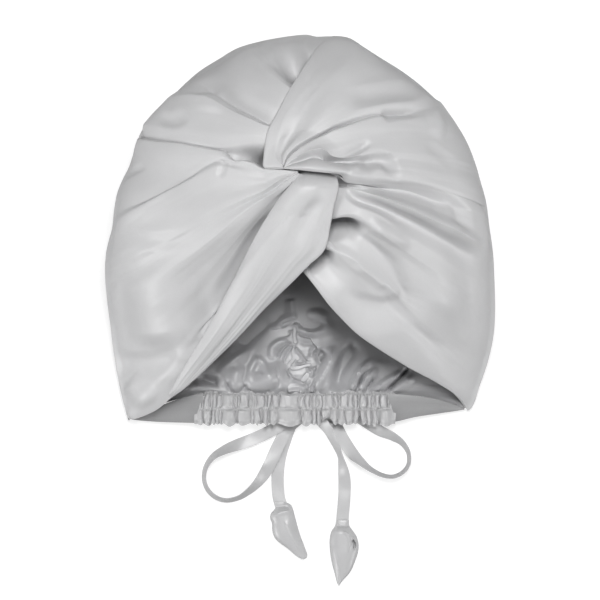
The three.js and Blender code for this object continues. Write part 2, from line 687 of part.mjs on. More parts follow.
// Ribbon routes: places across and along, the height of the lower edge, and the turn from flat in degrees
const leftLoopRoute = [
  [4.8, -130.9, 2.6, 0], [-6.1, -136, 3, 0], [-14.8, -140.4, 2.9, 0], [-23.4, -144.7, 2.2, 0],
  [-32.8, -149.4, 1.2, 5], [-42.1, -154, 0.4, 12], [-50.7, -158.4, 0.3, 25], [-58.7, -163, 0.3, 45],
  [-65.1, -167.7, 0.3, 70], [-68.7, -173.8, 0.3, 90], [-68.7, -181.4, 0.3, 90], [-64.4, -189.3, 0.3, 88],
  [-57.9, -193.6, 0.3, 65], [-50, -194.3, 0.3, 35], [-42.8, -191.5, 0.5, 12], [-36.3, -186.4, 0.9, 0],
  [-29.9, -179.6, 1.4, 0], [-24.1, -172, 1.7, 0], [-19.8, -164.5, 1.7, 0], [-15.5, -156.2, 1.7, 0],
  [-10.4, -148.6, 1.7, 0], [-4, -141.1, 1.7, 0], [5.2, -132.2, 1.7, 0],
];
const rightLoopRoute = [
  [11.5, -129.4, 0.4, 0], [29.9, -131, 0.3, 0], [41.4, -133.9, 0.3, 0], [50, -137.8, 0.3, 0],
  [57.2, -142.9, 0.3, 0], [64.4, -147.6, 0.3, 4], [70.5, -151.9, 0.3, 20], [75.6, -156.6, 0.3, 45],
  [78.8, -162, 0.3, 75], [79.2, -168.1, 0.3, 90], [76.3, -173.1, 0.3, 88], [70.9, -176.4, 0.3, 65],
  [64.4, -177.4, 0.3, 38], [57.2, -176, 0.3, 14], [50.7, -173.1, 0.3, 0], [44.3, -168.8, 0.3, 0],
  [38.5, -163, 0.3, 0], [33.8, -156.9, 0.3, 0], [29.9, -150.4, 0.3, 0], [26.6, -144, 0.3, 0],
  [23.4, -137.8, 0.3, 0], [14, -130.2, 0.6, 0],
];
const leftTailRoute = [
  [7.2, -130.2, 0.6, 0], [-1.8, -135.7, 0.3, 0], [-6.1, -140, 0.3, 0], [-8.6, -145.8, 0.3, 0],
  [-10.8, -152.2, 0.3, 0], [-13, -158.7, 0.3, 0], [-14.5, -165.2, 0.3, 0], [-15.5, -171.7, 0.3, 0],
  [-15.8, -177.4, 0.3, 0], [-15.8, -183.2, 0.3, 0], [-15.5, -188.2, 0.3, 0], [-14.8, -193.3, 0.3, 0],
  [-13.6, -197.6, 0.3, 0],
];
const rightTailRoute = [
  [10.2, -129.6, 1.7, 0], [14, -135, 1.7, 0], [16.9, -139.3, 1.7, 0], [20.5, -144.3, 1.7, 0],
  [23.8, -149.7, 1.7, 0], [26.6, -155.8, 1.7, 0], [29.2, -162.3, 1.5, 0], [31.2, -168.8, 1, 0],
  [32.3, -174.6, 0.5, 0], [32.7, -180.3, 0.3, 0], [32.8, -186.8, 0.3, 0], [32.5, -193.3, 0.3, 0],
  [32, -199.7, 0.3, 0], [31.3, -206.2, 0.3, 0], [30.6, -213.1, 0.3, 0],
];
const stepsPerPoint = 2;

// A flat ribbon along a route, lying on its lower edge, by as many rings as its points ask for
function ribbon(points) {
  const curve = (list) => new THREE.CatmullRomCurve3(
    list.map((at) => new THREE.Vector3(...at, 0)), false, 'catmullrom',
  );
  const places = curve(points.map(([x, y]) => [x, y]));
  const stances = curve(points.map(([, , level, turn]) => [level, turn]));
  const steps = (points.length - 1) * stepsPerPoint;
  return loft(Array.from({ length: steps + 1 }, (_, k) => {
    const at = k / steps;
    const stance = stances.getPoint(at);
    const turn = THREE.MathUtils.degToRad(Math.min(Math.max(stance.y, 0), 90));
    const onEdge = (ribbonWidth * Math.sin(turn) + ribbonThickness * Math.cos(turn)) / 2;
    const middle = places.getPoint(at).setZ(Math.max(stance.x, clearance) + onEdge);
    const run = places.getTangent(at);
    const across = new THREE.Vector3(-run.y, run.x, 0).normalize();
    const width = across.clone().multiplyScalar(Math.cos(turn)).setZ(Math.sin(turn));
    const face = across.clone().multiplyScalar(-Math.sin(turn)).setZ(Math.cos(turn));
    return [[-1, -1], [1, -1], [1, 1], [-1, 1]].map(([w, f]) => middle.clone()
      .addScaledVector(width, (w * ribbonWidth) / 2)
      .addScaledVector(face, (f * ribbonThickness) / 2));
  }));
}

// Parts of the ribbon on either side of a line across the ties, where they bend up
const tieReach = capLength;
const beyond = (geometry, line) => cut(geometry, block(
  new THREE.Vector3(-capWidth, line - clearance / 2, -tieReach),
  new THREE.Vector3(capWidth, tieReach, tieReach),
));
const before = (geometry, line) => cut(geometry, block(
  new THREE.Vector3(-capWidth, -2 * tieReach, -tieReach),
  new THREE.Vector3(capWidth, line + clearance / 2, tieReach),
));

// The knot: a ribbon wrapped over the crossing, with the start of each loop and tail
const knotProfileShares = [[-1, 0.62], [-0.8, 0.9], [-0.4, 1], [0.4, 1], [0.8, 0.9], [1, 0.62]];
const knotSides = 10;
const knotSquareShare = 0.6;
function knot() {
  const wrap = loft(knotProfileShares.map(([at, size]) => Array.from({ length: knotSides }, (_, k) => {
    const angle = ((k + 0.5) / knotSides) * 2 * Math.PI;
    const square = Math.max(Math.abs(Math.cos(angle)), Math.abs(Math.sin(angle))) ** knotSquareShare;
    return new THREE.Vector3(
      knotCentre.x + (at * knotLength) / 2,
      knotCentre.y + (Math.cos(angle) * knotDepth * size) / 2 / square,
      knotCentre.z + (Math.sin(angle) * knotHeight * size) / 2 / square,
    );
  })));
  const starts = [leftLoopRoute, rightLoopRoute, leftTailRoute, rightTailRoute]
    .map((points) => before(ribbon(points), bowHinge));
  return join(wrap, ...starts);
}

// Tulip end: the ribbon's end folded round itself into a closed bud
const tulipProfileShares = [
  [0, 0.42], [0.1, 0.55], [0.24, 0.84], [0.4, 1], [0.56, 0.95],
  [0.72, 0.74], [0.86, 0.46], [0.95, 0.22], [1, 0.08],
];
const tulipSides = 12;
const lapelShare = 0.16;
const lapelStartShare = 0.25;
function tulip(points, bend) {
  const end = new THREE.Vector2(...points.at(-1).slice(0, 2));
  const run = end.clone().sub(new THREE.Vector2(...points.at(-2).slice(0, 2))).normalize();
  const heading = run.clone().rotateAround(new THREE.Vector2(), bend);
  return loft(tulipProfileShares.map(([at, size]) => {
    const facing = at === 0 ? run : heading;
    const centre = end.clone().addScaledVector(run, clearance).addScaledVector(heading, at * tulipLength);
    const half = (tulipThickness * size) / 2;
    return Array.from({ length: tulipSides }, (_, k) => {
      const angle = (k / tulipSides) * 2 * Math.PI;
      const lapel = 1 - lapelShare * (1 - k / tulipSides) * smooth(at / lapelStartShare);
      const across = (Math.cos(angle) * tulipWidth * size * lapel) / 2;
      const up = Math.sin(angle) * half * (Math.sin(angle) < 0 ? 1 : lapel);
      const level = clearance + half + up;
      return new THREE.Vector3(centre.x - facing.y * across, centre.y + facing.x * across, level);
    });
  }));
}

const bonnet = new THREE.Group();
function add(name, geometry, material) {
  const mesh = new THREE.Mesh(geometry, material);
  mesh.name = name;
  bonnet.add(mesh);
}

add('crown_left_panel', panel(crownLeft, {
  surface: frontDome,
  lift: (spot, u) => liftOf(layerShares.crownTuck * (1 - smooth(u / tuckShare))),
  folds: crownFolds,
  rows: 20,
  columns: 16,
}), satin);
add('right_front_panel', panel(rightFront, {
  surface: frontDome,
  lift: () => liftOf(layerShares.right),
  folds: rightFolds,
  rows: 40,
  columns: 13,
}), satin);
add('left_front_panel', panel(leftFront, {
  surface: frontDome,
  lift: (spot) => liftOf(layerShares.left + twistLayer(spot)),
  folds: leftFolds,
  rows: 24,
  columns: 18,
}), satin);
add('front_band', panel(edgeBand, {
  surface: frontDome,
  lift: (spot, u, v) => liftOf(layerShares.band + twistLayer(spot))
    + bandRoll * smooth((u - bandHeadShare) / bandRiseShare) * Math.sin(Math.PI * v),
  rows: 32,
  columns: 8,
}), satin);
add('twist_fold', panel(twistFold, {
  surface: frontDome,
  lift: (spot, u, v) => liftOf(mix(
    layerShares.twist, layerShares.twistRunOut, smooth((u - twistRunOutShare) / (1 - twistRunOutShare)),
  )) + twistPuff * Math.sin(Math.PI * v),
  folds: rightFolds,
  rows: 16,
  columns: 6,
}), satin);
const backGrid = { surface: backRest, lift: () => 0, rows: 20, columns: 14 };
add('back_left_panel', panel(backLeft, backGrid), satinInside);
add('back_right_panel', panel(backRight, backGrid), satinInside);
add('centre_back_channel', centreChannel(), satinInside);
add('centre_back_elastic', centreElastic(), elasticWhite);
add('nape_channel', napeChannel(), satinInside);
add('nape_hem_left', plainHem(backLeft, -1), satinInside);
add('nape_hem_right', plainHem(backRight, 1), satinInside);
['left', 'right'].forEach((side, k) => {
  add(`nape_elastic_${side}`, napeElastic(side), elasticWhite);
  add(`drawcord_${side}`, drawcord(side), ribbonSatin);
  add(`buttonhole_edging_${side}`, buttonholeEdging(buttonholes[k]), satinInside);
});
add('bow_knot', knot(), ribbonSatin);
add('left_loop', beyond(ribbon(leftLoopRoute), bowHinge), ribbonSatin);
add('right_loop', beyond(ribbon(rightLoopRoute), bowHinge), ribbonSatin);
const tails = { left: [leftTailRoute, leftTulipBend], right: [rightTailRoute, rightTulipBend] };
Object.entries(tails).forEach(([side, [points, bend]]) => {
  const whole = beyond(ribbon(points), bowHinge);
  add(`${side}_tail_root`, before(whole, tailHinge), ribbonSatin);
  add(`${side}_tail`, beyond(whole, tailHinge), ribbonSatin);
  add(`${side}_tulip_end`, tulip(points, bend), ribbonSatin);
});

export default bonnet;
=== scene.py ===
"""Looks of a satin turban bonnet that lies on its back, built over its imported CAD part.

Lengths are in millimetres until a mesh is made. +X is the picture's right, +Y the crown, and +Z is up
from the table. Lines on the cloth are given as places in the 600 by 600 picture, which is looked at
straight from above.
"""

from __future__ import annotations

import logging
import math
from dataclasses import dataclass
from enum import Enum
from typing import Callable, Sequence

import bpy
import numpy as np
from mathutils import Matrix, Vector

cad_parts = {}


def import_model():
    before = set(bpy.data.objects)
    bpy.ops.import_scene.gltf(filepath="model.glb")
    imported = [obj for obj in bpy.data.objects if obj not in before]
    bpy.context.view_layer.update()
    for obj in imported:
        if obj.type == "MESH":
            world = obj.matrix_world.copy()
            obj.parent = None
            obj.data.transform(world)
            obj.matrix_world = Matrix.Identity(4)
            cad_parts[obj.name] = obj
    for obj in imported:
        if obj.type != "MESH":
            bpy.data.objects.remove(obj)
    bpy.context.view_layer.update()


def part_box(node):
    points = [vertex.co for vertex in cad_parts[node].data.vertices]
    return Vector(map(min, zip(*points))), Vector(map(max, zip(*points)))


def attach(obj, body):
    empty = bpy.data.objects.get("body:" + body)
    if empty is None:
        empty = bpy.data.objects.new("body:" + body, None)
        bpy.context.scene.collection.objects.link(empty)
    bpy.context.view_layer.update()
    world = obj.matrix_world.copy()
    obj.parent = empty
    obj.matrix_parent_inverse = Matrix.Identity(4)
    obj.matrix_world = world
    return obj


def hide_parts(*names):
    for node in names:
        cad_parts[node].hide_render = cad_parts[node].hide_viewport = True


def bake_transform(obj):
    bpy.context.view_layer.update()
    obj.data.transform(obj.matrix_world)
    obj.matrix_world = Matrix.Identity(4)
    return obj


log = logging.getLogger("bonnet")
Array = np.ndarray
Piece = bpy.types.Object
MM = 0.001
PIXEL = 0.7198
PICTURE_CENTRE = (299.5, 230.5)
SHORTEST_STEP = 1e-4
SHORTEST_FADE = 1e-3
NO_LENGTH = 1e-9
Places = Sequence[tuple[float, float]]
Heights = Sequence[tuple[float, float]]
Point = tuple[float, float, float]
Route = Sequence[tuple[float, float, float, float]]
Values = Array | float


class Hand(Enum):
    """The left or the right of the picture."""

    LEFT = "left"
    RIGHT = "right"


def smooth(value: Values) -> Array:
    """A soft step from 0 to 1."""
    t = np.clip(value, 0, 1)
    return t * t * (3 - 2 * t)


def step(value: Values, start: float, run: float) -> Array:
    """A soft step from 0 to 1 over a run that begins at start."""
    return smooth((value - start) / run)


def mix(a: Values, b: Values, share: Values) -> Values:
    """The value a share of the way from a to b."""
    return a + (b - a) * share


def between_ends(share: Values, start: float, finish: float) -> Array:
    """1 along the middle, eased to 0 over a share of the length at each end."""
    return smooth(share / max(start, SHORTEST_FADE)) * smooth((1 - share) / max(finish, SHORTEST_FADE))


def from_picture(places: Places) -> Array:
    """Places in the picture as millimetres across and along the cap."""
    at = np.asarray(places, float)
    return np.stack([at[:, 0] - PICTURE_CENTRE[0], PICTURE_CENTRE[1] - at[:, 1]], 1) * PIXEL


def soft_line(points: Array, steps: int = 14) -> Array:
    """A smooth line through points.

    Args:
        points: The points, one a row.
        steps: How many points stand for each stretch between two of them.

    Returns:
        The points of the line.
    """
    p = np.asarray(points, float)
    if len(p) == 2:
        return p[0] + (p[1] - p[0]) * np.linspace(0, 1, steps + 1)[:, None]
    ends = np.vstack([2 * p[0] - p[1], p, 2 * p[-1] - p[-2]])
    a, b, c, d = ends[:-3], ends[1:-2], ends[2:-1], ends[3:]

    def gap(one: Array, other: Array) -> Array:
        """The root of the distance, which keeps the line free of loops."""
        return np.maximum(np.sqrt(np.linalg.norm(other - one, axis=1)), SHORTEST_STEP)[:, None]

    before, middle, after = gap(a, b), gap(b, c), gap(c, d)
    leave = ((b - a) / before - (c - a) / (before + middle) + (c - b) / middle) * middle
    arrive = ((c - b) / middle - (d - b) / (middle + after) + (d - c) / after) * middle
    t = np.linspace(0, 1, steps, endpoint=False)[:, None, None]
    at_b, at_c, slope_b, slope_c = ease(t)
    curve = at_b * b + slope_b * leave + at_c * c + slope_c * arrive
    return np.vstack([curve.transpose(1, 0, 2).reshape(-1, p.shape[1]), p[-1:]])


def ease(t: Values) -> tuple[Values, Values, Values, Values]:
    """What each end and each end's slope counts for, a share of the way along a cubic."""
    return 2 * t**3 - 3 * t**2 + 1, 3 * t**2 - 2 * t**3, t**3 - 2 * t**2 + t, t**3 - t**2


def evenly(line: Array, shares: Array, by: int | None = None) -> Array:
    """Points at shares of a line's length, measured over its first columns.

    Args:
        line: The line's points, one a row.
        shares: The shares, from 0 to 1.
        by: How many columns its length is measured over, or None for all.

    Returns:
        The points, one a row.
    """
    length = run_length(line[:, :by] if by else line)
    at = np.asarray(shares) * length[-1]
    return np.stack([np.interp(at, length, line[:, k]) for k in range(line.shape[1])], 1)


def run_length(line: Array) -> Array:
    """How far along a line each of its points is."""
    return np.concatenate([[0], np.cumsum(np.linalg.norm(np.diff(line, axis=0), axis=1))])


def soft_noise(u: Array, v: Array, cells: tuple[int, int], seed: int) -> Array:
    """Smooth noise between -1 and 1 over two coordinates from 0 to 1.

    Args:
        u: The first coordinate.
        v: The second coordinate.
        cells: How many cells the noise has along each.
        seed: Which noise it is.

    Returns:
        The noise at each place.
    """
    lattice = np.random.default_rng(seed).uniform(-1, 1, (cells[0] + 2, cells[1] + 2))
    x, y = np.clip(u, 0, 1) * cells[0], np.clip(v, 0, 1) * cells[1]
    i, j = x.astype(int), y.astype(int)
    fx, fy = smooth(x - i), smooth(y - j)
    near = mix(lattice[i, j], lattice[i + 1, j], fx)
    far = mix(lattice[i, j + 1], lattice[i + 1, j + 1], fx)
    return mix(near, far, fy)


@dataclass(frozen=True)
class Ripple:
    """Uneven cloth: how high it stands, how many cells it has each way, and which noise it is."""

    height: float
    cells: tuple[int, int]
    seed: int

    def at(self, u: Array, v: Array) -> Array:
        """The height at each place."""
        return self.height * soft_noise(u + 0 * v, v + 0 * u, self.cells, self.seed)


@dataclass(frozen=True)
class Pinch:
    """A place where cloth is drawn in: how far, where its middle is, and how wide it is."""

    depth: float
    middle: float
    width: float

    def at(self, value: Array) -> Array:
        """How far the cloth is drawn in at each place."""
        return self.depth * np.exp(-(((value - self.middle) / self.width) ** 2))


# The camera, the floor and the light

WHITE = (1.0, 1.0, 1.0, 1.0)


@dataclass(frozen=True)
class Lamp:
    """A square soft lamp that faces the cap: its watts, and its side and place in metres."""

    name: str
    energy: float
    side: float
    place: Point

    def add(self) -> None:
        """Puts the lamp in its place."""
        bpy.ops.object.light_add(type="AREA", location=self.place)
        lamp = bpy.context.object
        lamp.name = self.name
        lamp.data.energy = self.energy
        lamp.data.shape = "SQUARE"
        lamp.data.size = self.side
        lamp.rotation_euler = (-Vector(self.place)).to_track_quat("-Z", "Y").to_euler()


@dataclass(frozen=True)
class Studio:
    """A white table top seen from straight above, in soft light."""

    lens: float = 600.0
    sensor: float = 36.0
    clip: tuple[float, float] = (1.0, 40.0)
    picture_side: float = 600.0
    focus_level: float = 30.0
    look_at: tuple[float, float] = (0.36, -50.0)
    floor_size: float = 6.0
    floor_level: float = -0.4
    world_strength: float = 0.09
    lamps: tuple[Lamp, ...] = (
        Lamp("soft_box_left", 10.0, 0.6, (-1.15, -0.7, 0.5)),
        Lamp("soft_box_right", 6.5, 0.55, (1.15, -0.7, 0.5)),
        Lamp("soft_box_above", 17.5, 0.5, (0.1, 0.38, 1.44)),
    )

    def camera(self) -> None:
        """The camera, far enough away that the cap looks flat on, as in the picture."""
        away = self.picture_side * PIXEL * self.lens / self.sensor
        x, y = self.look_at
        bpy.ops.object.camera_add(
            location=(x * MM, y * MM, (self.focus_level + away) * MM), rotation=(0, 0, 0),
        )
        camera = bpy.context.object
        camera.name = "camera"
        camera.data.lens = self.lens
        camera.data.sensor_width = self.sensor
        camera.data.clip_start, camera.data.clip_end = self.clip
        bpy.context.scene.camera = camera

    def floor(self) -> None:
        """The table top, white to the camera and shaded where the cap stands in the light's way."""
        bpy.ops.mesh.primitive_plane_add(size=self.floor_size, location=(0, 0, 0))
        floor = bpy.context.object
        floor.name = "table_top"
        floor.data.transform(Matrix.Translation((0, 0, self.floor_level * MM)))
        floor.data.materials.append(Paper().make())

    def world(self) -> None:
        """Faint light all round, in front of plain white."""
        world = bpy.data.worlds.new("studio")
        bpy.context.scene.world = world
        tree = empty_tree(world)
        seen = node(tree, "ShaderNodeLightPath")
        faint = node(tree, "ShaderNodeBackground", {"Color": WHITE, "Strength": self.world_strength})
        white = node(tree, "ShaderNodeBackground", {"Color": WHITE, "Strength": 1.0})
        both = node(
            tree, "ShaderNodeMixShader",
            {0: seen.outputs["Is Camera Ray"], 1: faint.outputs[0], 2: white.outputs[0]},
        )
        node(tree, "ShaderNodeOutputWorld", {"Surface": both.outputs[0]})

    def build(self) -> None:
        """The camera, the table top, low lamps to the left and the right, and one over the crown."""
        self.camera()
        self.floor()
        for lamp in self.lamps:
            lamp.add()
        self.world()


# Materials


def linear(code: str) -> tuple[float, float, float, float]:
    """A screen colour as the linear colour that a shader takes.

    Args:
        code: The colour, as #rrggbb.

    Returns:
        Red, green, blue and alpha.
    """
    parts = [int(code[k : k + 2], 16) / 255 for k in (1, 3, 5)]
    red, green, blue = (c / 12.92 if c <= 0.04045 else ((c + 0.055) / 1.055) ** 2.4 for c in parts)
    return red, green, blue, 1.0


def empty_tree(owner: bpy.types.Material | bpy.types.World) -> bpy.types.NodeTree:
    """The owner's shader tree, with nothing in it.

    Args:
        owner: The material or the world.

    Returns:
        The tree.
    """
    owner.use_nodes = True
    owner.node_tree.nodes.clear()
    return owner.node_tree


def node(
    tree: bpy.types.NodeTree, kind: str, inputs: dict[str | int, object] | None = None, **settings: object
) -> bpy.types.Node:
    """Adds a node.

    Args:
        tree: The tree that it goes in.
        kind: Its type.
        inputs: By socket, a value or the output socket that feeds it.
        settings: Its own settings.

    Returns:
        The node.
    """
    made = tree.nodes.new(kind)
    for name, value in settings.items():
        setattr(made, name, value)
    for name, value in (inputs or {}).items():
        if isinstance(value, bpy.types.NodeSocket):
            tree.links.new(value, made.inputs[name])
        else:
            made.inputs[name].default_value = value
    return made


@dataclass(frozen=True)
class Paper:
    """White background paper: matt, and bright enough to the camera to be plain white."""

    matt: str = "#c8c8c8"
    seen: str = "#a6a6a6"
    glow: float = 0.72

    def make(self) -> bpy.types.Material:
        """The paper, which glows a little where the camera sees it and not where it lights the cloth.

        Returns:
            The material.
        """
        material = bpy.data.materials.new("background_paper")
        tree = empty_tree(material)
        path = node(tree, "ShaderNodeLightPath")
        matt = node(tree, "ShaderNodeBsdfDiffuse", {"Color": linear(self.matt)})
        faint = node(tree, "ShaderNodeBsdfDiffuse", {"Color": linear(self.seen)})
        glow = node(tree, "ShaderNodeEmission", {"Color": WHITE, "Strength": self.glow})
        lit = node(tree, "ShaderNodeAddShader", {0: faint.outputs[0], 1: glow.outputs[0]})
        both = node(
            tree, "ShaderNodeMixShader",
            {0: path.outputs["Is Camera Ray"], 1: matt.outputs[0], 2: lit.outputs[0]},
        )
        node(tree, "ShaderNodeOutputMaterial", {"Surface": both.outputs[0]})
        return material


@dataclass(frozen=True)
class Speckle:
    """A noise pattern: its size in millimetres, how fine it is and how rough."""

    size: float
    detail: float
    roughness: float

    def add(self, tree: bpy.types.NodeTree, place: bpy.types.NodeSocket) -> bpy.types.NodeSocket:
        """Adds the pattern to a material."""
        inputs = {"Scale": 1 / (self.size * MM), "Detail": self.detail, "Roughness": self.roughness}
        return node(tree, "ShaderNodeTexNoise", {"Vector": place, **inputs}).outputs["Fac"]


@dataclass(frozen=True)
class Satin:
    """Polyester charmeuse: long floats of shiny thread on one side, which give a broad soft sheen."""

    name: str
    light: str
    dark: str
    roughness: float
    specular: float
    threads: Speckle = Speckle(0.9, 2.0, 0.6)
    clouds: Speckle = Speckle(34.0, 3.0, 0.5)
    grain_depth: float = 0.05
    thread_share: float = 0.35
    dark_until: float = 0.3
    light_from: float = 0.7
    ior: float = 1.54

    def make(self) -> bpy.types.Material:
        """The material, whose grain is drawn coarser than the 0.1 mm threads so that it shows.

        Returns:
            The material.
        """
        material = bpy.data.materials.new(self.name)
        tree = empty_tree(material)
        place = node(tree, "ShaderNodeTexCoord").outputs["Object"]
        clouds, threads = self.clouds.add(tree, place), self.threads.add(tree, place)
        both = node(tree, "ShaderNodeMix", {"Factor": self.thread_share, "A": clouds, "B": threads})
        colour = node(tree, "ShaderNodeValToRGB", {"Fac": both.outputs["Result"]})
        stops = ((self.dark_until, self.dark), (self.light_from, self.light))
        for stop, (position, code) in zip(colour.color_ramp.elements, stops):
            stop.position, stop.color = position, linear(code)
        bump = node(
            tree, "ShaderNodeBump", {"Strength": 1.0, "Distance": self.grain_depth * MM, "Height": threads},
        )
        cloth = node(
            tree, "ShaderNodeBsdfPrincipled",
            {
                "Base Color": colour.outputs["Color"], "Roughness": self.roughness, "IOR": self.ior,
                "Specular IOR Level": self.specular, "Normal": bump.outputs["Normal"],
            },
        )
        node(tree, "ShaderNodeOutputMaterial", {"Surface": cloth.outputs["BSDF"]})
        return material


class Finish(Enum):
    """The finishes of the bonnet's pieces."""

    # The shiny side of the charmeuse, woven with long floats: silver grey with wide soft highlights.
    SATIN = Satin("satin_charmeuse", "#cacacb", "#c2c2c3", 0.5, 0.6)
    # Its wrong side, where the floats are short: greyer, and bright only along the creases. Its grey is set
    # darker still, as painted shade for the inside of the cap.
    INSIDE = Satin("satin_wrong_side_painted_shade", "#b2b2b4", "#a8a8aa", 0.42, 0.75)
    # Charmeuse drawn up on elastic: the tight puffs catch small bright spots. Its grey is lighter than the
    # wrong side's, as painted light on the lit nape.
    GATHERED_PAINTED_LIGHT = Satin("satin_gathered_painted_light", "#bebebf", "#b6b6b7", 0.42, 0.8)
    # Double faced satin ribbon, woven finer and pressed flat: a narrow, even shine.
    RIBBON = Satin("satin_ribbon", "#c2c2c3", "#bababb", 0.38, 0.6, threads=Speckle(0.7, 2.0, 0.6))
    # Two layers of the cloth pressed and stitched, in a dark grey that is painted shade under the front's
    # edges.
    HEM_PAINTED_SHADE = Satin("satin_doubled_hem_painted_shade", "#9c9c9d", "#929293", 0.5, 0.5)


class Wardrobe:
    """Makes each finish's material once, and gives it to the pieces."""

    def __init__(self) -> None:
        """Nothing is made until it is asked for."""
        self.made: dict[Finish, bpy.types.Material] = {}

    def put_on(self, piece: Piece, *finishes: Finish) -> None:
        """Gives a piece its finishes, the outer side's first.

        Args:
            piece: The piece.
            finishes: The finishes, in the order of their slots.
        """
        for finish in finishes:
            if finish not in self.made:
                self.made[finish] = finish.value.make()
            piece.data.materials.append(self.made[finish])


# Meshes


def choose(*pieces: Piece) -> None:
    """Selects only these pieces, the first of them active, so that an operator acts on nothing else.

    Args:
        pieces: The pieces, or none to select nothing.
    """
    if bpy.context.object and bpy.context.object.mode != "OBJECT":
        bpy.ops.object.mode_set(mode="OBJECT")
    bpy.ops.object.select_all(action="DESELECT")
    for piece in pieces:
        piece.select_set(True)
    if pieces:
        bpy.context.view_layer.objects.active = pieces[0]


def cloth_grid(name: str, points: Array) -> Piece:
    """A grid primitive laid over rows and columns of points.

    Args:
        name: The piece's name.
        points: Millimetres, as (columns, rows, 3).

    Returns:
        The piece, with a UV map that runs from 0 to 1 each way.
    """
    columns, rows = points.shape[:2]
    choose()
    bpy.ops.mesh.primitive_grid_add(x_subdivisions=columns - 1, y_subdivisions=rows - 1, size=1)
    piece = bpy.context.object
    piece.name = piece.data.name = name
    piece.data.vertices.foreach_set("co", (points.transpose(1, 0, 2) * MM).astype(np.float32).ravel())
    piece.data.update()
    return piece


def on_whole(piece: Piece, operator: Callable[..., set[str]], **settings: object) -> None:
    """Runs a mesh operator on the whole of a piece.

    Args:
        piece: The piece.
        operator: The edit mode operator.
        settings: The operator's settings.
    """
    choose(piece)
    bpy.ops.object.mode_set(mode="EDIT")
    bpy.ops.mesh.select_all(action="SELECT")
    operator(**settings)
    bpy.ops.object.mode_set(mode="OBJECT")


def weld(piece: Piece, distance: float) -> None:
    """Merges a piece's doubled points."""
    on_whole(piece, bpy.ops.mesh.remove_doubles, threshold=distance * MM)


def face_away(piece: Piece, inside: Point) -> None:
    """Flips an open sheet if most of it faces a point that lies behind it.

    Args:
        piece: The sheet.
        inside: The point, in millimetres.
    """
    faces = piece.data.polygons
    normals, centres, areas = np.zeros(len(faces) * 3), np.zeros(len(faces) * 3), np.zeros(len(faces))
    faces.foreach_get("normal", normals)
    faces.foreach_get("center", centres)
    faces.foreach_get("area", areas)
    out = ((centres.reshape(-1, 3) - np.array(inside) * MM) * normals.reshape(-1, 3)).sum(1)
    if (out * areas).sum() <= 0:
        piece.data.flip_normals()


def thicken(piece: Piece, thickness: float, lining: bool = False) -> None:
    """Gives an open sheet its cloth thickness, inwards, and its lining's finish on the other side.

    Args:
        piece: The sheet.
        thickness: The cloth's thickness in millimetres.
        lining: Whether the second finish goes on the inner side.
    """
    choose(piece)
    wall = piece.modifiers.new("cloth", "SOLIDIFY")
    wall.thickness = thickness * MM
    wall.offset = -1.0
    wall.use_even_offset = False
    if lining:
        wall.material_offset = 1
        wall.material_offset_rim = 0
    bpy.ops.object.modifier_apply(modifier=wall.name)


def shade(piece: Piece, angle: float = 70.0) -> None:
    """Smooth shading, but for edges sharper than an angle in degrees."""
    choose(piece)
    bpy.ops.object.shade_smooth_by_angle(angle=math.radians(angle))


def tube(name: str, rings: Array, merge: float = 0.005) -> Piece:
    """A closed skin round rings of points, drawn together at each end.

    Args:
        name: The piece's name.
        rings: Millimetres, as (rings, points round, 3).
        merge: How close two points are that become one.

    Returns:
        The piece, whose UV map runs round and along it.
    """
    wrapped = np.concatenate([rings, rings[:, :1]], 1)
    ends = [ring.mean(0, keepdims=True) for ring in (rings[0], rings[-1])]
    caps = [np.repeat(end, wrapped.shape[1], 0)[None] for end in ends]
    wrapped = np.concatenate([caps[0], wrapped, caps[1]], 0)
    piece = cloth_grid(name, wrapped.transpose(1, 0, 2))
    weld(piece, merge)
    on_whole(piece, bpy.ops.mesh.normals_make_consistent, inside=False)
    return piece


def seat(piece: Piece, slot: str, *nodes: str) -> None:
    """Fixes a piece to the cap, in place of the solids that it shows.

    Args:
        piece: The piece.
        slot: The record's material slot; not used.
        nodes: The solids that the piece stands for.
    """
    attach(piece, "bonnet")
    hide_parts(*nodes)


# The cap's form


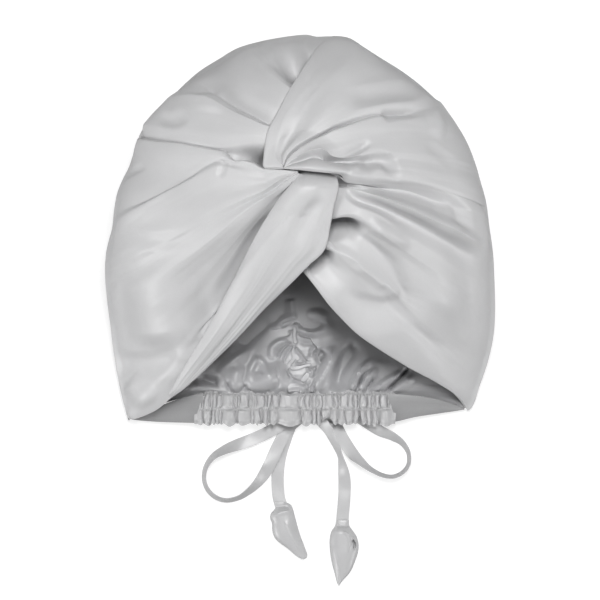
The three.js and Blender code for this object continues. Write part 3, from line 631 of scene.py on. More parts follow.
@dataclass(frozen=True)
class CapForm:
    """The dome of the front and the rounded back that lies on the table, over one outline.

    The crown's power and root each have a value towards the crown and one towards the lower corners.
    """

    front_height: float = 116.0
    side_height: float = 38.0
    corner_height: float = 5.0
    corner_turn: tuple[float, float] = (math.radians(91), math.radians(50))
    half_gap: float = 0.15
    crown_power: tuple[float, float] = (2.2, 1.6)
    crown_root: tuple[float, float] = (0.5, 0.833)
    twist_swell: float = 9.0
    twist_reach: float = 30.0
    twist_centre: tuple[float, float] = (3.92, 39.24)
    dome_centre: tuple[float, float] = (0.0, 18.29)
    flat_share: float = 0.76
    nape_line: float = -118.0
    nape_reach: float = 55.0
    nape_rise: float = 8.55
    gather_rise: float = 2.2
    gather_pitch: float = 23.4
    disc_step: float = 0.002
    outline: Places = (
        (469, 409.5), (479.5, 384), (487.5, 360), (492.5, 336), (494, 312), (493, 276), (491.5, 252),
        (488, 228), (484.5, 202), (478.5, 180), (474.5, 166), (466.5, 145), (457, 128), (443.5, 109),
        (431, 97), (417, 84.5), (401, 72.5), (381, 60), (363, 48.5), (348.5, 39.5), (331, 37.2),
        (316, 37.4), (307.5, 35.6), (296, 36.2), (281, 38.2), (262, 41.8), (238, 48.8), (219, 60),
        (200, 72), (186, 84), (174, 96), (162, 108), (151, 120), (142, 132), (137, 144), (134, 156),
        (130, 168), (123.5, 181), (118.5, 194), (115.5, 210), (113.5, 228), (110, 241), (107.2, 254),
        (106.2, 272), (108, 300), (111, 324), (114, 350), (119, 380), (125, 407), (129.5, 420), (150, 423),
        (175, 423.5), (225, 424), (300, 424), (370, 423.5), (415, 420.5), (445, 415),
    )

    def reach(self, angle: Array) -> Array:
        """How far the outline is from the dome's centre in each direction.

        Args:
            angle: The directions, in radians from +X.

        Returns:
            The distances in millimetres.
        """
        places = from_picture(self.outline)
        ring = np.vstack([places[-2:], places, places[:3]])
        line = soft_line(ring, 10) - self.dome_centre
        turn = np.unwrap(np.arctan2(line[:, 1], line[:, 0]))
        away = np.linalg.norm(line, axis=1)
        return np.interp((angle - turn[0]) % (2 * math.pi) + turn[0], turn, away)

    def near_corner(self, angle: Array) -> Array:
        """How far a direction lies towards the lower corners, where the side fold is pressed flat."""
        from_crown = np.abs(np.arctan2(np.cos(angle), np.sin(angle)))
        return step(from_crown, *self.corner_turn)

    def to_disc(self, places: Array) -> Array:
        """Places as points of a disc whose rim is the side fold.

        Args:
            places: Millimetres across and along the cap.

        Returns:
            The points of the disc.
        """
        out = places - self.dome_centre
        angle = np.arctan2(out[..., 1], out[..., 0])
        share = np.minimum(np.linalg.norm(out, axis=-1) / self.reach(angle), 1)
        radius = np.arcsin(share) * 2 / math.pi
        return np.stack([radius * np.cos(angle), radius * np.sin(angle)], -1)

    def spot(self, disc: Array) -> tuple[Array, Array, Array, Array]:
        """Angle, share of the way out, and place of each point of the disc.

        Args:
            disc: Points of the disc.

        Returns:
            The angles, the shares, and the places across and along the cap.
        """
        angle = np.arctan2(disc[..., 1], disc[..., 0])
        share = np.sin(np.minimum(np.linalg.norm(disc, axis=-1), 1) * math.pi / 2)
        away = share * self.reach(angle)
        x, y = self.dome_centre
        return angle, share, x + away * np.cos(angle), y + away * np.sin(angle)

    def front(self, disc: Array) -> Array:
        """Points of the front dome.

        Args:
            disc: Points of the disc.

        Returns:
            The points in millimetres.
        """
        angle, share, x, y = self.spot(disc)
        corner = self.near_corner(angle)
        side = mix(self.side_height, self.corner_height, corner) + self.half_gap
        from_twist = np.hypot(x - self.twist_centre[0], y - self.twist_centre[1]) / self.twist_reach
        swell = self.twist_swell * (1 - np.minimum(from_twist, 1) ** 2) ** 2
        power, root = mix(*self.crown_power, corner), mix(*self.crown_root, corner)
        crown = np.maximum(1 - share**power, 0) ** root
        return np.stack([x, y, side + (self.front_height - side) * crown + swell], -1)

    def back(self, disc: Array) -> Array:
        """Points of the back, which rests on the table and rises to the nape channel.

        Args:
            disc: Points of the disc.

        Returns:
            The points in millimetres.
        """
        angle, share, x, y = self.spot(disc)
        outward = np.maximum(share - self.flat_share, 0) / (1 - self.flat_share)
        side = mix(self.side_height, self.corner_height, self.near_corner(angle)) - self.half_gap
        roll = side * (1 - np.sqrt(np.maximum(1 - outward**2, 0)))
        to_nape = smooth((self.nape_line + self.nape_reach - y) / self.nape_reach)
        gather = self.gather_rise * (1 + np.cos(x * 2 * math.pi / self.gather_pitch))
        rise = to_nape * (self.nape_rise * (1 - outward**2) + gather * (1 - to_nape) * (1 - outward))
        return np.stack([x, y, roll + rise], -1)

    def normals(self, surface: Callable[[Array], Array], disc: Array) -> Array:
        """Directions out of the cap, square to a surface.

        Args:
            surface: The front or the back, as a function of points of the disc.
            disc: Points of the disc.

        Returns:
            The directions, each of length 1.
        """
        gap = self.disc_step
        across = surface(disc + (gap, 0)) - surface(disc - (gap, 0))
        along = surface(disc + (0, gap)) - surface(disc - (0, gap))
        normal = np.cross(across, along)
        normal /= np.maximum(np.linalg.norm(normal, axis=-1, keepdims=True), NO_LENGTH)
        middle = np.array([*self.dome_centre, self.front_height / 2])
        inward = ((surface(disc) - middle) * normal).sum(-1) < 0
        normal[inward] *= -1
        return normal


CAP = CapForm()
INSIDE_THE_CAP = (0.0, 18.0, 58.0)
FAR_BELOW = (0.0, 0.0, -1000.0)


# Sheets of cloth, shaped by lines drawn along their folds


@dataclass(frozen=True)
class Rib:
    """A line along the cloth, from its gather to its end, and how high it stands over the form.

    Where crisp isn't 0, the cloth turns sharply at the line, before it and after it. A pin holds one
    of the places at a share of the rows.
    """

    places: Places
    heights: Heights
    crisp: float | tuple[float, float] = 0.0
    pin: tuple[int, float] | None = None

    def crispness(self) -> tuple[float, float]:
        """How sharply the cloth turns at this line, on the side before it and on the side after it."""
        return self.crisp if isinstance(self.crisp, tuple) else (self.crisp, self.crisp)


@dataclass(frozen=True)
class Dent:
    """A soft fold laid over a sheet: a line, how high it stands, and how far it reaches each way.

    It fades in over the share start of its line and out over the share finish. A crest of 1 is as
    sharp as a crease.
    """

    places: Places
    height: float
    left: float
    right: float
    start: float = 0.3
    finish: float = 0.3
    crest: float = 0.0

    def at(self, x: Array, y: Array, steps: int = 24, crease_power: float = 1.7) -> Array:
        """The height that it adds at each place.

        Args:
            x: Millimetres across the cap.
            y: Millimetres along it.
            steps: How many points its line is measured from.
            crease_power: How fast a crease falls away.

        Returns:
            The heights in millimetres.
        """
        line = evenly(soft_line(from_picture(self.places)), np.linspace(0, 1, steps))
        best = np.full(x.shape, np.inf)
        along = np.zeros(x.shape)
        side = np.zeros(x.shape)
        for k, (start, run) in enumerate(zip(line, np.diff(line, axis=0))):
            past = np.clip(((x - start[0]) * run[0] + (y - start[1]) * run[1]) / (run @ run), 0, 1)
            dx, dy = x - start[0] - run[0] * past, y - start[1] - run[1] * past
            distance = np.hypot(dx, dy)
            near = distance < best
            best = np.where(near, distance, best)
            along = np.where(near, (k + past) / (len(line) - 1), along)
            side = np.where(near, run[0] * dy - run[1] * dx, side)
        share = np.minimum(best / np.where(side > 0, self.left, self.right), 1)
        shape = mix((1 - share**2) ** 2, (1 - share) ** crease_power, self.crest)
        return self.height * shape * between_ends(along, self.start, self.finish)


class Side(Enum):
    """Which half of the cap a sheet belongs to."""

    FRONT = "front"
    BACK = "back"


@dataclass(frozen=True)
class ClothSheet:
    """One sheet of cloth, spread over its ribs.

    A relief over 1 deepens the ribs' and dents' heights about their mean. The tuck is how far the
    gathered end lies below the form, and slack is where the wrinkles begin and their run.
    """

    name: str
    ribs: Sequence[Rib]
    dents: Sequence[Dent] = ()
    side: Side = Side.FRONT
    rows: int = 150
    spacing: float = 1.15
    column_range: tuple[int, int] = (2, 60)
    gather_power: float = 1.15
    reaches_rim: bool = True
    rim_share: float = 0.995
    rim_fade: float = 0.12
    edge_fade: float = 1 / 14
    tuck: float = 0.0
    tuck_reach: float = 0.2
    relief: float = 1.7
    mean_height: float = 3.0
    wander: float = 0.5
    wander_reach: float = 150.0
    wander_cells: tuple[int, int] = (9, 9)
    wrinkle: float = 0.25
    wrinkle_cells: tuple[int, int] = (26, 5)
    fine_wrinkle: float = 0.4
    fine_cells: tuple[int, int] = (60, 9)
    slack: tuple[float, float] = (0.05, 1 / 3)
    seed: int = 1

    def row_shares(self) -> Array:
        """Where the rows lie along each rib, closer together at the gather."""
        return np.linspace(0, 1, self.rows + 1) ** self.gather_power

    def rib_discs(self) -> Array:
        """The ribs as points of the disc, as (ribs, rows, 2).

        Returns:
            The points, each rib's from its gather to its end.
        """
        found = []
        for rib in self.ribs:
            line = CAP.to_disc(soft_line(from_picture(rib.places)))
            if self.reaches_rim:
                line = line[np.linalg.norm(line, axis=1) < self.rim_share]
                line = np.vstack([line, line[-1] / np.linalg.norm(line[-1])])
            if rib.pin is None:
                found.append(evenly(line, self.row_shares()))
                continue
            index, share = rib.pin
            pinned = CAP.to_disc(from_picture([rib.places[index]]))
            stop = int(np.linalg.norm(line - pinned, axis=1).argmin())
            row = round(share * self.rows)
            first = evenly(line[: stop + 1], np.linspace(0, 1, row + 1))
            rest = evenly(line[stop:], np.linspace(0, 1, self.rows - row + 1))
            found.append(np.vstack([first, rest[1:]]))
        return np.array(found)

    def rib_heights(self) -> Array:
        """The ribs' heights along their rows, as (ribs, rows).

        Returns:
            The heights in millimetres, deepened by the relief.
        """
        t = np.linspace(0, 1, self.rows + 1)
        found = []
        for rib in self.ribs:
            knots = np.array(rib.heights, float)
            k = np.clip(np.searchsorted(knots[:, 0], t, side="right") - 1, 0, len(knots) - 2)
            share = smooth((t - knots[k, 0]) / (knots[k + 1, 0] - knots[k, 0]))
            found.append(mix(knots[k, 1], knots[k + 1, 1], share))
        return mix(self.mean_height, np.array(found), self.relief)

    def slopes(self, heights: Array, gaps: Array) -> tuple[Array, Array]:
        """The cloth's slope on each side of each rib: even where the rib is soft, broken where crisp.

        Args:
            heights: The ribs' heights, as (ribs, rows).
            gaps: The distances from each rib to the next.

        Returns:
            The slopes before the ribs, and those after them.
        """
        secant = np.diff(heights, axis=0) / gaps
        edge = np.zeros((1, heights.shape[1]))
        before, after = np.vstack([edge, secant]), np.vstack([secant, edge])
        wide_before, wide_after = np.vstack([gaps[:1], gaps]), np.vstack([gaps, gaps[-1:]])
        same = before * after > 0
        w1, w2 = 2 * wide_after + wide_before, wide_after + 2 * wide_before
        safe_before, safe_after = np.where(same, before, 1), np.where(same, after, 1)
        soft = np.where(same, (w1 + w2) / (w1 / safe_before + w2 / safe_after), 0)
        crisp = np.array([rib.crispness() for rib in self.ribs], float)
        left = mix(soft, before * np.maximum(crisp[:, :1], 1), np.minimum(crisp[:, :1], 1))
        right = mix(soft, after * np.maximum(crisp[:, 1:], 1), np.minimum(crisp[:, 1:], 1))
        return left, right

    def columns(
        self, surface: Callable[[Array], Array], closest: float = 0.3, usual: float = 75
    ) -> tuple[Array, Array, Array]:
        """The columns of the sheet, eased from each rib to the next.

        Args:
            surface: The form that the cloth lies over.
            closest: The least distance that two ribs are counted as.
            usual: The percentile of the distance between two ribs that sets how many columns they have.

        Returns:
            Each column's points of the disc, its heights, and its share of the way across the sheet.
        """
        discs, heights = self.rib_discs(), self.rib_heights()
        gaps = np.maximum(np.linalg.norm(np.diff(surface(discs), axis=0), axis=2), closest)
        left, right = self.slopes(heights, gaps)
        disc, relief, lines = [], [], []
        last = len(self.ribs) - 2
        for k in range(last + 1):
            count = int(np.clip(round(np.percentile(gaps[k], usual) / self.spacing), *self.column_range))
            for s in np.arange(count + (k == last)) / count:
                at_one, at_next, slope_one, slope_next = ease(s)
                rise = (slope_one * right[k] + slope_next * left[k + 1]) * gaps[k]
                disc.append(mix(discs[k], discs[k + 1], s))
                relief.append(at_one * heights[k] + at_next * heights[k + 1] + rise)
                lines.append(k + s)
        return np.array(disc), np.array(relief), np.array(lines)[:, None] / (len(self.ribs) - 1)

    def folds(self, point: Array, across: Array, t: Array) -> Array:
        """The height that dents and wrinkles add at each point.

        Args:
            point: The points of the form.
            across: Their shares of the way across the sheet.
            t: Their shares of the way along it.

        Returns:
            The heights in millimetres.
        """
        x, y = point[..., 0], point[..., 1]
        dents = sum((dent.at(x, y) for dent in self.dents), np.zeros_like(x))
        u, v = (x / self.wander_reach + 1) / 2, (y / self.wander_reach + 1) / 2
        wander = Ripple(self.wander, self.wander_cells, self.seed).at(u, v)
        coarse = Ripple(self.wrinkle, self.wrinkle_cells, self.seed + 1).at(across, t)
        fine = Ripple(self.fine_wrinkle * self.wrinkle, self.fine_cells, self.seed + 2).at(across, t)
        return dents * self.relief + wander + step(t, *self.slack) * (coarse + fine)

    def grid(self) -> Array:
        """The sheet's points, as (columns, rows, 3).

        Returns:
            The points in millimetres.
        """
        surface = CAP.front if self.side is Side.FRONT else CAP.back
        disc, height, across = self.columns(surface)
        t = self.row_shares()[None, :]
        if self.reaches_rim:
            end = np.linalg.norm(disc[:, -1:], axis=2, keepdims=True)
            disc = disc * mix(1, 1 / end, t[..., None] ** 3)
        point = surface(disc)
        radius = np.linalg.norm(disc, axis=2)
        fade = smooth((1 - radius) / self.rim_fade) if self.reaches_rim else np.ones_like(radius)
        folds = self.folds(point, across + 0 * t, t) * between_ends(across, self.edge_fade, self.edge_fade)
        height = height - self.tuck * (1 - smooth(t / self.tuck_reach))
        base = self.mean_height + (height[:, -1:] - self.mean_height) / self.relief
        height = mix(base, height, fade) + folds * fade
        out = CAP.normals(surface, disc)
        lift = out if self.side is Side.FRONT else np.array([0.0, 0.0, 1.0]) + 0 * out
        return point + lift * height[..., None]


def dress(piece: Piece, wardrobe: Wardrobe, cloth: float, slot: str, *nodes: str) -> None:
    """Turns a sheet outwards, gives it its thickness and its two sides, and seats it on the cap.

    Args:
        piece: The sheet.
        wardrobe: Where its finishes come from.
        cloth: Its thickness in millimetres.
        slot: The record's material slot, handed on to seat, which does not use it.
        nodes: The solids that the piece stands for.
    """
    face_away(piece, INSIDE_THE_CAP)
    # The lining's grey is darker than the cloth's own: painted shade for the inside of the cap.
    wardrobe.put_on(piece, Finish.SATIN, Finish.INSIDE)
    thicken(piece, cloth, lining=True)
    shade(piece)
    seat(piece, slot, *nodes)


# The turban front

# The left part of the crown, which passes under the twist
CROWN_LEFT = ClothSheet(
    "crown_left_cloth",
    ribs=[
        Rib([(300, 188), (270, 182), (240, 178), (222, 172), (200, 166), (165, 158), (137, 153)],
            [(0, 0), (0.8, 0.6), (1, 0.2)]),
        Rib([(300, 166), (272, 163), (258, 160.5), (246, 158), (236, 156), (227, 154.5), (200, 151),
             (165, 146.5), (140, 142)],
            [(0, -8), (0.22, -5.5), (0.34, 0.2), (0.48, 0.4), (0.8, 0.6), (1, 0.2)]),
        Rib([(300, 150), (264.7, 144.9), (255.4, 145.2), (242, 146.5), (231.2, 149), (222, 150.2),
             (200, 146), (180, 142), (160, 140), (146, 137.5)],
            [(0, 1.6), (0.28, 2), (0.48, 2.4), (0.8, 1), (1, 0.4)], (0.3, 1)),
        Rib([(295, 137), (262, 137), (235, 134), (205, 130), (175, 129), (147, 128)],
            [(0, 2), (0.3, 3), (0.6, 3.8), (0.85, 3.8), (1, 0.4)]),
        Rib([(285, 129.5), (270, 129), (255, 123.5), (240, 117), (225, 109), (212, 103), (195, 100),
             (168, 104)], [(0, 2), (0.3, 3.2), (0.6, 5), (0.8, 4.6), (1, 0.5)], 1),
        Rib([(285, 126), (270, 126.2), (260.7, 121.6), (247.3, 114.2), (233.9, 106.9), (220.5, 98.8),
             (207, 90), (190, 82)], [(0, 0.4), (0.15, 0.4), (0.55, 0.8), (0.75, 2.6), (1, 0.5)], 1),
        Rib([(290, 110), (275, 108), (258, 98), (240, 85), (222, 72), (208, 64)],
            [(0, 1.8), (0.4, 2.4), (1, 0.5)]),
        Rib([(293, 93), (289.5, 90.3), (280, 83), (270, 74.2), (258, 60), (248, 49)],
            [(0, 2.2), (0.3, 2.2), (0.7, 1.8), (1, 0.4)], 1),
        Rib([(294, 89), (292, 85.5), (285, 77), (277, 67), (267, 54), (261, 44)],
            [(0, 0), (0.3, 0.4), (0.6, 1), (0.8, 1.4), (1, 0.4)]),
        Rib([(305, 80), (298, 77), (290, 66), (282, 53), (275, 41)], [(0, -0.6), (0.4, 0.6), (1, 0.4)]),
        Rib([(318, 62), (308, 58), (300, 48), (295, 38)], [(0, 1.2), (1, 0.4)]),
        Rib([(333, 52), (326, 46), (319, 40), (315, 37.5)], [(0, 0.9), (1, 0.4)]),
        Rib([(352, 62), (346, 52), (341, 44), (337, 37)], [(0, 1.4), (1, 0.4)]),
    ],
    dents=[
        Dent([(160, 121), (178, 125), (192, 116)], -1.2, 7, 7),
        Dent([(270, 158), (262, 161), (254, 162.5), (246, 161)], -9, 6, 6, 0, 0.5),
        Dent([(307, 75), (299, 67.5), (291, 60), (282, 53), (272, 46)], -10, 15, 14, 0, 0.75),
        Dent([(213, 118), (214, 105), (210, 94)], 1.2, 12, 10),
    ],
    rows=110, seed=11,
)

# The right front over the twist's lip, from the crown to the crease that runs out of the twist
RIGHT_CROWN = ClothSheet(
    "right_front_cloth",
    ribs=[
        Rib([(285.8, 171.3), (276.7, 171.3), (264.3, 170), (264, 159.3), (265.2, 146.7), (268, 132.9),
             (275.5, 118), (287.6, 95), (298.2, 78.2), (312.8, 54.1), (320.8, 45.4), (331, 39)],
            [(0, 2.6), (0.5, 1.4), (1, 0.4)], (0, 2)),
        Rib([(286.3, 169.6), (276.7, 169.2), (266.5, 168), (266, 159.3), (267.2, 147.2), (270, 133.6),
             (277.5, 119), (289.6, 96), (300.2, 79.2), (314.8, 55.1), (322.8, 46.4), (333, 40)],
            [(0, 4.6), (0.1, 4.6), (0.5, 3.6), (0.85, 2.6), (1, 0.8)], (0, 0)),
        Rib([(286.4, 169.6), (278, 160), (278, 145), (284, 125), (297, 103), (318, 74), (342, 48),
             (350, 41)], [(0, 4.6), (0.12, 4.6), (0.4, 4.4), (0.8, 3.4), (1, 1)]),
        Rib([(286.5, 169.6), (283, 160), (287, 148), (293, 135), (306, 112), (330, 85), (362, 54)],
            [(0, 4.2), (0.12, 3), (0.3, 4.2), (0.55, 5.2), (0.8, 3.6), (1, 1)]),
        Rib([(286.6, 169.6), (288, 160), (298, 147), (313, 130), (335, 110), (365, 84), (398, 66)],
            [(0, 4.4), (0.15, 5.4), (0.35, 5.4), (0.7, 3.6), (1, 1)]),
        Rib([(286.4, 169.8), (290, 160.5), (300, 150), (316, 138.5), (332, 128), (352, 116), (375, 109),
             (400, 103.5), (425, 101)], [(0, 4.4), (0.15, 5.2), (0.4, 5.2), (0.75, 4.2), (1, 1)]),
        Rib([(286.4, 170.1), (289.3, 162.2), (298.5, 153), (313.4, 142.7), (328.3, 133.5), (345.5, 127.2),
             (362.8, 120.9), (376.5, 117), (391.5, 115.3), (410, 114), (428, 112)],
            [(0, 3.6), (0.1, 2.6), (0.35, 2.2), (0.6, 2), (0.8, 2.2), (0.95, 3), (1, 1)], (1.6, 1.2)),
        Rib([(286.5, 170.3), (290.3, 163.8), (299.5, 155), (314.4, 145), (329.3, 136), (346.5, 130),
             (364, 124.4), (380, 121.5), (400, 122), (430, 124), (455, 128)],
            [(0, 3.8), (0.1, 4.2), (0.35, 4.4), (0.6, 3.6), (1, 1)]),
        Rib([(286.6, 170.5), (291, 165.6), (302, 157.3), (320, 149), (345, 144), (368, 140), (400, 138),
             (430, 139), (462, 143)], [(0, 4), (0.15, 4), (0.3, 3.8), (0.45, 3.4), (1, 1)]),
        Rib([(286.7, 170.7), (293.9, 164), (303.1, 158.9), (312.2, 155), (319.1, 154.4), (326, 158),
             (334, 160), (350, 160), (372, 156), (400, 156), (430, 159), (470, 165)],
            [(0, 3.8), (0.08, 4), (0.2, 4.6), (0.32, 4.6), (0.5, 4), (1, 1)], (1, 1.2)),
        Rib([(286.7, 170.8), (295, 165.8), (304, 161.6), (312, 158.6), (320, 158.6), (328, 161.6),
             (336, 163), (350, 163.4), (372, 161), (400, 161), (430, 165), (473, 172)],
            [(0, 3.8), (0.1, 0.8), (0.22, -0.8), (0.32, 1.8), (0.5, 3.4), (1, 1)]),
        Rib([(286.8, 170.9), (296, 167.6), (312, 164.5), (330, 166), (350, 167.5), (375, 169), (410, 173),
             (440, 178), (478, 186)],
            [(0, 4.2), (0.12, 4.2), (0.22, 3.6), (0.34, 4.8), (0.45, 4.4), (0.7, 3.4), (1, 1)]),
        Rib([(287, 171.1), (304.2, 172.2), (320.3, 173.6), (337.5, 175.6), (351, 178.8), (365, 179),
             (390, 180), (415, 182), (450, 190), (484, 200)],
            [(0, 4.4), (0.1, 7), (0.26, 8), (0.36, 6), (0.45, 4.6), (0.7, 3.2), (1, 1)]),
        Rib([(287, 171.7), (304.2, 173.8), (320.3, 175.5), (337.5, 177.8), (344.6, 184), (365, 184.5),
             (390, 184.5), (415, 187), (450, 195), (486, 207)],
            [(0, 3.8), (0.08, 5.2), (0.2, 5.8), (0.3, 3.4), (0.45, 2.4), (0.7, 2.4),
             (1, 1)], (2, 0.5), pin=(4, 0.3)),
    ],
    dents=[
        Dent([(340, 107), (365, 102), (395, 98), (425, 98)], -2.4, 10, 9),
        Dent([(378, 119), (392, 116), (404, 115), (420, 112)], -2.4, 6, 7, 0.2, 0.4),
        Dent([(321.4, 157.3), (328.3, 160.5), (339.8, 160), (351.3, 155.5), (362.8, 149.5), (369, 143)],
              -1.7, 6, 3.4, 0.2, 0.25),
        Dent([(361, 176), (364.5, 168), (371, 163), (380, 163.5), (386, 169), (388, 176), (385, 183)], -2.8,
              8, 7, 0.25, 0.4),
        Dent([(345, 176), (352, 171), (360, 170.5)], 1.1, 4, 4, 0.3, 0.4, 0.6),
        Dent([(424, 108), (433, 118), (435, 130), (431, 143)], 1.7, 8, 8),
        Dent([(420, 145), (436, 156), (452, 168)], -0.7, 6, 6),
    ],
    rows=160, seed=21,
)

# The right front below that crease, down to the right edge of the opening
RIGHT_CHEEK = ClothSheet(
    "right_cheek_cloth",
    ribs=[
        Rib([(318, 171), (333, 174), (344.6, 184), (365, 184.5), (390, 184.5), (415, 187), (450, 195),
             (486, 207)],
            [(0, 1.2), (0.2, 2), (0.3, 3.4), (0.45, 2.4), (0.7, 2.4), (1, 1)], (0.5, 1), pin=(2, 0.3)),
        Rib([(327, 181), (336, 184), (345, 186.3), (358, 187.3), (380, 189), (397, 190), (417, 193),
             (432, 198), (460, 208), (487, 220)],
            [(0, 1.2), (0.15, 2), (0.3, -1), (0.5, -2), (0.62, -0.6), (0.74, 2.6), (0.85, 2.6), (1, 1)]),
        Rib([(327, 184), (337, 186), (347.6, 187.8), (356, 189), (370, 191.5), (390, 196), (410, 201),
             (430, 208), (455, 219), (488, 236)],
            [(0, 1.2), (0.15, 1.6), (0.27, 1.8), (0.5, 0.6), (0.62, 0.6), (0.74, 2.6), (0.85, 2.8),
             (1, 1)]),
        Rib([(327, 187), (338, 187.8), (347, 189), (355, 191), (366, 194.8), (385, 202), (401, 208.5),
             (419, 216.5), (437, 224.5), (461, 236), (490, 252)],
            [(0, 1.2), (0.15, 2.4), (0.27, 5.8), (0.6, 6.2), (0.8, 2.8), (1, 1)], (0.4, 0.6)),
        Rib([(326, 190), (340, 190), (348, 192.5), (353, 198), (361, 202.3), (372, 206), (384, 210.5),
             (396, 216.5), (417, 227), (447, 244), (491, 270)],
            [(0, 1.2), (0.1, 2.6), (0.17, 0.4), (0.4, -0.2), (0.6, 0.2), (0.75, 1.6), (1, 1)]),
        Rib([(325, 195), (337, 196), (342.5, 200), (347, 204.2), (354, 207.7), (363, 210.6), (373, 214),
             (383, 219.5), (398, 230.5), (436, 255), (492, 291)],
            [(0, 1.2), (0.11, 4.6), (0.3, 4.6), (0.5, 3.8), (0.7, 2.6), (1, 1)], (0.2, 0.4)),
        Rib([(317, 226), (329.5, 221.6), (335.2, 218.2), (340.4, 215.4), (346.7, 213.8), (353, 214.5),
             (359, 217.4), (367, 222.5), (380, 232), (405, 251), (445, 278), (493, 308)],
            [(0, 1.4), (0.12, 4.4), (0.24, 5.2), (0.42, 3.8), (0.7, 2.4), (1, 1)], (0.3, 0.9)),
        Rib([(316, 231), (330, 226.5), (342, 223.5), (352, 225), (362, 231), (380, 243), (408, 262),
             (448, 289), (494, 322)], [(0, 0.8), (0.12, 1), (0.24, 1.4), (0.38, 2.4), (0.55, 2.8), (1, 1)]),
        Rib([(314, 238), (327, 234), (340, 232), (354, 236), (372, 247), (400, 268), (440, 298),
             (493, 340)], [(0, 0.4), (0.14, -1.8), (0.24, -1.2), (0.4, 2.2), (0.55, 2.8), (1, 1)]),
        Rib([(312, 243), (325, 243), (340, 244), (356, 251), (376, 264), (402, 286), (440, 317),
             (492, 357)], [(0, 1.2), (0.15, 1), (0.3, 1.8), (0.45, 1.6), (0.65, 2.8), (1, 1)]),
        Rib([(310, 246), (326, 248), (335.2, 251.7), (351.3, 258.6), (362.8, 266.6), (374.2, 273.6),
             (386, 284), (400, 300), (425, 325), (460, 352), (488, 370)],
            [(0, 1.8), (0.12, 4), (0.36, 4.4), (0.46, 2.2), (0.6, 2.6), (1, 1)], (0.5, 0.8)),
        Rib([(307, 251), (320, 256), (334, 261), (350, 270), (364, 280), (380, 295), (402, 317), (435, 345),
             (484, 384)], [(0, 1), (0.12, 1.4), (0.3, 1.2), (0.45, 1.2), (0.6, 2.4), (1, 1)]),
        Rib([(305, 257), (315, 264), (332, 274), (350, 288), (372, 307), (400, 330), (438, 358),
             (478, 394)], [(0, -0.4), (0.1, -1.8), (0.2, 0.4), (0.35, 2), (0.6, 2.2), (1, 1)]),
        Rib([(302, 266), (311, 278), (329, 297), (350, 318), (380, 342), (416, 364), (450, 386),
             (473, 402)], [(0, 1.4), (0.2, 2.2), (0.6, 2), (1, 1)]),
        Rib([(299, 272), (302, 276.2), (318, 292.8), (336, 313.4), (356, 333.3), (377, 348.2), (409, 368.2),
             (437, 383), (460, 398.5), (468, 408.6)],
            [(0, 1.2), (0.2, 1.4), (0.8, 1.2), (1, 0.9)], (0.6, 1.6)),
        Rib([(298, 274), (301, 278), (317, 294.4), (335, 315), (355, 335), (376, 350), (408, 370),
             (436, 384.8), (459, 400.2), (467, 409.6)],
            [(0, -0.8), (0.2, -1), (0.8, -0.6), (1, 0.6)], (0.5, 0.5)),
    ],
    dents=[
        Dent([(324, 231), (336, 226), (348, 223.5), (358, 227), (368, 233)], -11, 4.6, 13, 0, 0.45),
        Dent([(305, 270), (315, 265), (323, 260), (336, 260)], -8.5, 6, 9, 0, 0.4),
        Dent([(338, 175), (341.5, 181), (341, 189)], -7, 3.4, 4, 0, 0.25),
        Dent([(364, 222), (380, 229), (396, 238), (410, 248)], 2.4, 7, 7, 0.3, 0.4),
        Dent([(402, 284), (401, 296), (391, 306), (375, 308), (356, 303), (340, 295)], -2.6, 20, 10, 0.25,
              0.4),
        Dent([(350, 263), (364, 272), (376, 281), (384, 290)], 1.4, 4, 6, 0.3, 0.25),
        Dent([(440, 200), (447, 212), (446, 226), (438, 238)], 0.9, 8, 9, 0.4, 0.4),
        Dent([(422, 248), (430, 285), (440, 352)], 4.6, 27, 28, 0.5, 0.55),
    ],
    rows=160, seed=31, tuck=9.0, tuck_reach=0.15, relief=2.0,
)

